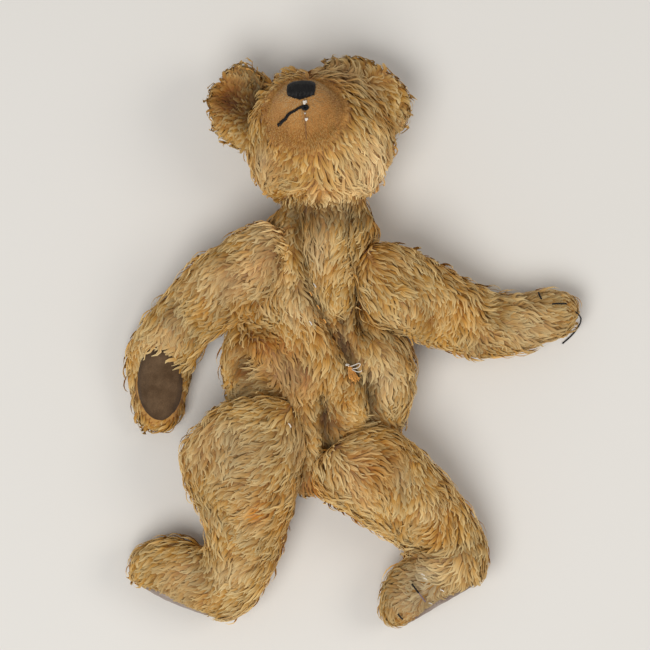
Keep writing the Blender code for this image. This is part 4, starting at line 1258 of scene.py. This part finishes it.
satin, given = new_tree("satin_stitches", NOSE, Seed="Int")
grid = add_node(satin, "GeometryNodeMeshGrid", {"Vertices X": NOSE_ROWS, "Vertices Y": ROW_POINTS})
dots = add_node(satin, "GeometryNodeMeshToPoints", {0: grid})
order = add_node(satin, "GeometryNodeInputIndex")
row = maths(satin, "DIVIDE", order, float(ROW_POINTS))
row = maths(satin, "FLOOR", row)
down = maths(satin, "MODULO", order, float(ROW_POINTS))
share = maths(satin, "DIVIDE", down, ROW_POINTS - 1.0)

# %% The ends of the stitches
# From -1 to 1 across the nose, then how far the stitch's two ends are from the middle line.
across = add_node(satin, "ShaderNodeMapRange", {0: row, 2: NOSE_ROWS - 1.0, 3: -1.0, 4: 1.0})
side = maths(satin, "ABSOLUTE", across)
corner = maths(satin, "POWER", side, 7.0)
uneven = add_node(satin, "FunctionNodeRandomValue", {
    2: -0.03, 3: 0.03, "ID": row, "Seed": given["Seed"],
}, data_type="FLOAT")
top = maths(satin, "MULTIPLY_ADD", corner, -0.16, 0.46)
top = maths(satin, "ADD", top, uneven)
slope = maths(satin, "POWER", side, 1.3)
bottom = maths(satin, "MULTIPLY_ADD", slope, 0.34, -0.62)
bottom = maths(satin, "ADD", bottom, uneven)
height = add_node(satin, "ShaderNodeMapRange", {0: share, 3: top, 4: bottom})
y = maths(satin, "MULTIPLY", height, given["High"])
half = maths(satin, "MULTIPLY", given["Across"], 0.5)
x = maths(satin, "MULTIPLY", across, half)
above = add_node(satin, "ShaderNodeCombineXYZ", {0: x, 1: y, 2: 30 * MM})
dropped = add_node(satin, "GeometryNodeRaycast", {
    "Target Geometry": given["Geometry"], "Source Position": above, "Ray Direction": (0, 0, -1),
    "Ray Length": 1.0,
})
laid = add_node(satin, "GeometryNodeSetPosition", {
    0: dots, "Position": dropped.outputs["Hit Position"], "Offset": (0, 0, 0.7 * MM),
})
threads = add_node(satin, "GeometryNodePointsToCurves", {"Points": laid, "Curve Group ID": row, "Weight": down})
half = maths(satin, "MULTIPLY", given["Thread"], 0.5)
section = add_node(satin, "GeometryNodeCurvePrimitiveCircle", {"Resolution": 6, "Radius": half})
swept = add_node(satin, "GeometryNodeCurveToMesh", {
    "Curve": threads, "Profile Curve": section, "Fill Caps": True,
})
smooth = add_node(satin, "GeometryNodeSetShadeSmooth", {0: swept})
real = add_node(satin, "GeometryNodeRealizeInstances", {0: smooth})
painted = add_node(satin, "GeometryNodeSetMaterial", {0: real, "Material": FLOSS})
add_node(satin, "NodeGroupOutput", {0: painted})

# %% The nose on the snout
nose_frame = Matrix((face_side, face_up, face_looks)).transposed().to_4x4()
nose_frame.translation = nose_middle
bm = merged_copy("nose_stitching")
bm.from_mesh(head.data)
bmesh.ops.transform(bm, matrix=nose_frame.inverted(), verts=bm.verts)
nose_base = placed("nose_base", mesh_of(bm, "nose_base"))
run_tree(nose_base, satin)
nose_mesh = applied(nose_base)
bpy.data.objects.remove(nose_base)
nose_mesh.transform(nose_frame)
nose_threads = new_piece("nose_threads", nose_mesh, FLOSS)
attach(nose_threads, "head")
print(NOSE_ROWS, "stitches in the nose")

# %% [markdown]
# The paws and soles are felt, a cloth of matted wool with no weave. On the right paw it is brown, rubbed
# paler across the middle and dark at its rim; the other pads have gone grey. The frame's pads are flat
# plates with square edges. A fine remesh rounds them, and noise gives them the dents of old felt.

# %% Two kinds of felt
FELTS = {
    "brown_wool_felt": ("3A2A1A", "4E3A26", "66503A"),
    "grey_wool_felt": ("76655A", "95847A", "AC9D92"),
}

# Felt is rubbed in blotches of 2 cm. Its fibres are far finer than the 1.4 mm that they are drawn at.
felts = {}
for name, (dark, middle, pale) in FELTS.items():
    felts[name], tree, shader = new_material(name, 0.95, Sheen_Weight=0.08, Specular_IOR_Level=0.2)
    place = add_node(tree, "ShaderNodeTexCoord").outputs["Object"]
    blotch = add_node(tree, "ShaderNodeTexNoise", {"Vector": place, "Scale": 55.0, "Detail": 3.0})
    fibre = add_node(tree, "ShaderNodeTexNoise", {
        "Vector": place, "Scale": 700.0, "Detail": 3.0, "Distortion": 1.5,
    })
    worn = add_node(tree, "ShaderNodeMapRange", {0: blotch, 1: 0.38, 2: 0.66})
    ground = blended(tree, worn, linear(middle), linear(pale))
    rim = add_node(tree, "ShaderNodeAttribute", attribute_name="rim").outputs["Fac"]
    edged = blended(tree, rim, ground, linear(dark))
    fibrous = add_node(tree, "ShaderNodeMapRange", {0: fibre, 1: 0.3, 2: 0.7, 3: 0.75, 4: 1.15})
    toned = vector_maths(tree, "SCALE", edged, fibrous)
    bump = add_node(tree, "ShaderNodeBump", {"Height": fibre, "Strength": 0.5, "Distance": 0.5 * MM})
    tree.links.new(toned.outputs[0], shader.inputs["Base Color"])
    tree.links.new(bump.outputs[0], shader.inputs["Normal"])

# %% The felt pads
PADS = {
    "right_paw_pad": ("right_arm", "brown_wool_felt", "brown_felt"),
    "left_paw_pad": ("left_arm", "grey_wool_felt", "brown_felt"),
    "right_foot_pad": ("right_leg", "grey_wool_felt", "grey_felt"),
    "left_foot_pad": ("left_leg", "grey_wool_felt", "grey_felt"),
}
PAD_MESH = 1.1 * MM
# The soles' felt stands out from the foot, and the right one slants, its lower edge furthest out.
SOLE_PADDING = 3.5 * MM
SOLE_SLANT = {"right_foot_pad": 0.75, "left_foot_pad": 0.0}

for name, (body, felt, slot) in PADS.items():
    pad = new_piece(name + "_felt", mesh_of(merged_copy(name), name), felts[felt])
    evened(pad, PAD_MESH, 3)
    places, normals = points_of(pad.data)
    middle = places.mean(axis=0)
    spread = np.linalg.eigh(np.cov((places - middle).T))
    outward = spread.eigenvectors[:, 0]
    outward = outward * np.sign(outward @ (middle - points_of(skins[body].data)[0].mean(axis=0)))
    places = places + normals * (0.7 + 0.5 * noise_at(places, 0.007, 1.0))[:, None] * MM
    if "foot" in name:
        lower = 2 * (middle[2] - places[:, 2]) / np.ptp(places[:, 2])
        push = SOLE_PADDING * (1 + SOLE_SLANT[name] * lower) * np.clip(normals @ outward + 0.3, 0, 1)
        places = places + outward * push[:, None]
    places[:, 2] = np.maximum(places[:, 2], 0.3 * MM)
    pad.data.vertices.foreach_set("co", places.ravel())
    pad.data.update()
    flat = np.abs((places - middle) @ spread.eigenvectors) / np.sqrt(spread.eigenvalues)
    far = np.hypot(flat[:, 1], flat[:, 2]) / 2
    store(pad.data, "rim", np.clip((far - 0.75) / 0.3, 0, 1))
    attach(pad, body)
    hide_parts(name)
print(len(PADS), "pads")

# %% [markdown]
# Claws were long black stitches. Two are left on the left paw and two on the left foot, where one has
# faded to purple. The body has been mended at its seam, in orange and white cotton, and ends of thread
# stand out of it in loops. All of them lie on top of the pile, so they start from the skin and rise.

# %% The claws
CLAWS = {
    "left_paw_claw_1": ("left_arm", [(162, 46.5), (163, 44), (164.5, 40.5)], 5.5),
    "left_paw_claw_2": ("left_arm", [(174, 36), (180, 36.6), (187, 36.2)], 5.5),
    "left_foot_claw_1": ("left_leg", [(49.5, -211), (52, -214.5), (55.5, -219)], 6.5),
    "left_foot_claw_2": ("left_leg", [(37.2, -238), (39, -240.6), (41.5, -243)], 5.5),
}
for name, (body, line, above) in CLAWS.items():
    middle = len(line) // 2
    points = [lay_on(trees[body], x, y, above + (0.8 if i == middle else 0)) for i, (x, y) in enumerate(line)]
    claw = spin_yarn(name + "_yarn", [points], body, FLOSS, 1.7)
    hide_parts(name)

# Black floss fades to a purple grey. The mending is dyed cotton, brighter where it is less worn.
FADED = mottled("faded_purple_floss", 0.6, 500.0, "4A3A4C", "8C7A8E")
ORANGE = mottled("orange_cotton_thread", 0.65, 250.0, "D08A2C", "F2B45A", Sheen_Weight=0.2)
faded = [lay_on(trees["left_leg"], x, y, 6) for x, y in [(55.5, -219), (58, -222.5), (61.5, -227)]]
spin_yarn("faded_claw_end", [faded], "left_leg", FADED, 1.0)

# %% The mending
body_top = trees["torso"]
knot = [
    lay_on(body_top, -5.5 + 2.2 * math.cos(2.3 * i), -21 + 1.8 * math.sin(2.9 * i), 6.5 + 0.6 * (i % 3))
    for i in range(12)
]
bundle = []
for i in range(11):
    fan, wave = (i - 5) / 5, math.sin(2.1 * i)
    bundle.append([
        lay_on(body_top, -6 + 0.6 * fan, -19 + 0.5 * wave, 7.0),
        lay_on(body_top, -4.5 + 2.2 * fan, -23, 8.5 - abs(fan) + wave),
        lay_on(body_top, -3.2 + 3.6 * fan + wave, -26.5, 8.0),
        lay_on(body_top, -1.5 + 4.2 * fan - wave, -30, 7.4 + wave),
        lay_on(body_top, -0.5 + 4.8 * fan, -33.5 + abs(fan) * 4 + wave, 5.5),
    ])
mending = spin_yarn("orange_mending", [knot, *bundle], "torso", ORANGE, 0.85)
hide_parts("lower_mending_thread")
white_loops = [
    [lay_on(body_top, -8 + 2.0 * math.cos(2.1 * i), -17.5 + 2.2 * math.sin(2.7 * i), 7.5) for i in range(10)],
    [lay_on(body_top, x, y, z) for x, y, z in
     [(-5, -19, 7), (-1, -18, 10), (3, -15, 11), (4.5, -18, 10), (1, -21, 9), (-3, -21, 7.5)]],
    [lay_on(body_top, x, y, z) for x, y, z in [(-6, -20, 7), (-1, -24, 9.5), (4, -25, 9), (5, -22.5, 8)]],
]
spin_yarn("white_mending", white_loops, "torso", COTTON, 0.8)

# %% Ends of thread in the pile
# For each: its body and thread, its places in mm, how high it lies, its run from there and its width.
SPECK_RUN, FLUFF_RUN = [(-1.2, 1.6), (0.4, 0.4), (0.8, -1.8)], [(-1.5, 1.0), (0.2, 0.8), (1.6, -0.6)]
SPECKS = {
    "orange_specks": ("torso", ORANGE, [(-39.6, 44.7), (-27.3, 20.9), (-33, 33)], 7.5, SPECK_RUN, 1.1),
    "white_specks": ("torso", COTTON, [(-39.6, 19), (-36, 52)], 7.5, SPECK_RUN, 1.1),
    "thigh_speck": ("right_leg", COTTON, [(-58, -70.6)], 7.5, SPECK_RUN, 1.2),
    "foot_fluff": ("left_leg", COTTON, [(59, -203), (61, -206.5), (76, -217), (66, -229)], 7, FLUFF_RUN, 0.9),
}
for name, (body, finish, spots_in_mm, above, run, width) in SPECKS.items():
    lines = [[lay_on(trees[body], x + dx, y + dy, above) for dx, dy in run] for x, y in spots_in_mm]
    specks = spin_yarn(name, lines, body, finish, width)
    if name == "orange_specks":
        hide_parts("upper_mending_thread")
print(len(CLAWS), "claws and the mending")

# %% [markdown]
# Inside the bear are the wood wool and the discs, washers and pins that its limbs turn on. They keep
# the shapes they have in the frame. Wood wool is thin curled shavings of pine, springy and pale. The
# discs are grey-brown strawboard, pressed from straw fibre. Washers and split pins are bare steel wire
# and sheet, gone brown in places.

# %% Wood wool, strawboard and steel
# The shavings show as bent ribbons 2.6 mm apart, toned down in patches of 17 mm.
WOOD_WOOL, tree, shader = new_material("pine_wood_wool", 0.8)
place = add_node(tree, "ShaderNodeTexCoord").outputs["Object"]
curled = add_node(tree, "ShaderNodeTexNoise", {
    "Vector": place, "Scale": 60.0, "Detail": 2.0, "Distortion": 4.0,
})
ribbon = add_node(tree, "ShaderNodeTexWave", {
    "Vector": place, "Scale": 120.0, "Distortion": 14.0, "Detail": 3.0,
})
wood = blended(tree, ribbon, linear("9C7A48"), linear("E2C690"))
shaded = blended(tree, curled, wood.outputs[2], linear("C79F62"))
bump = add_node(tree, "ShaderNodeBump", {"Height": ribbon, "Strength": 0.8, "Distance": 1.5 * MM})
tree.links.new(shaded.outputs[2], shader.inputs["Base Color"])
tree.links.new(bump.outputs[0], shader.inputs["Normal"])

# Straw shows in the board as flecks of 1.4 mm.
STRAWBOARD, tree, shader = new_material("pressed_strawboard", 0.9)
place = add_node(tree, "ShaderNodeTexCoord").outputs["Object"]
straw = add_node(tree, "ShaderNodeTexNoise", {
    "Vector": place, "Scale": 700.0, "Detail": 3.0, "Distortion": 1.0,
})
board = blended(tree, straw, linear("6F5A3C"), linear("A88D62"))
bump = add_node(tree, "ShaderNodeBump", {"Height": straw, "Strength": 0.4, "Distance": 0.3 * MM})
tree.links.new(board.outputs[2], shader.inputs["Base Color"])
tree.links.new(bump.outputs[0], shader.inputs["Normal"])

# Steel shines where it is bare and is dull and brown in the spots of rust, some 5 mm wide.
STEEL, tree, shader = new_material("rolled_steel", 0.4, Metallic=1.0)
place = add_node(tree, "ShaderNodeTexCoord").outputs["Object"]
tarnish = add_node(tree, "ShaderNodeTexNoise", {"Vector": place, "Scale": 220.0, "Detail": 4.0})
rusty = add_node(tree, "ShaderNodeMapRange", {0: tarnish, 1: 0.5, 2: 0.68})
metal = blended(tree, rusty, linear("A6A29B"), linear("6B4227"))
rough = add_node(tree, "ShaderNodeMapRange", {0: rusty, 3: 0.35, 4: 0.85})
tree.links.new(metal.outputs[2], shader.inputs["Base Color"])
tree.links.new(rough.outputs[0], shader.inputs["Roughness"])

# %% The solids that keep their shapes
KEPT = {"stuffing": WOOD_WOOL, "disc": STRAWBOARD, "washer": STEEL, "pin": STEEL, "nose_stitching": FLOSS}
kept = 0
for name, node in frame["nodes"].items():
    for ending, finish in KEPT.items():
        if name.endswith(ending):
            for material_slot in node.material_slots:
                material_slot.material = finish
            kept += 1
print(kept, "solids keep their shapes")

# %% [markdown]
# Each skin stands for the cover that it was made from. It is a stuffed, padded thing, slack where the
# filling has gone, and it moves with its own part of the bear.

# %% What the soft pieces stand for
for body, skin in skins.items():
    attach(skin, owner[body])
    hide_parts(body if body.endswith("ear") else body + "_cover")

# %% [markdown]
# Pile stands proud of the solids, but only by what real fabric may. So the box of the solids and the
# box of what is seen now are printed side by side.

# %% Sizes, and the end
sizes = {"cad": [list(corner) for corner in cad_box], "visual": [list(corner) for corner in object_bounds()]}
for name, corners in sizes.items():
    print(name, [[round(c / MM, 1) for c in corner] for corner in corners])
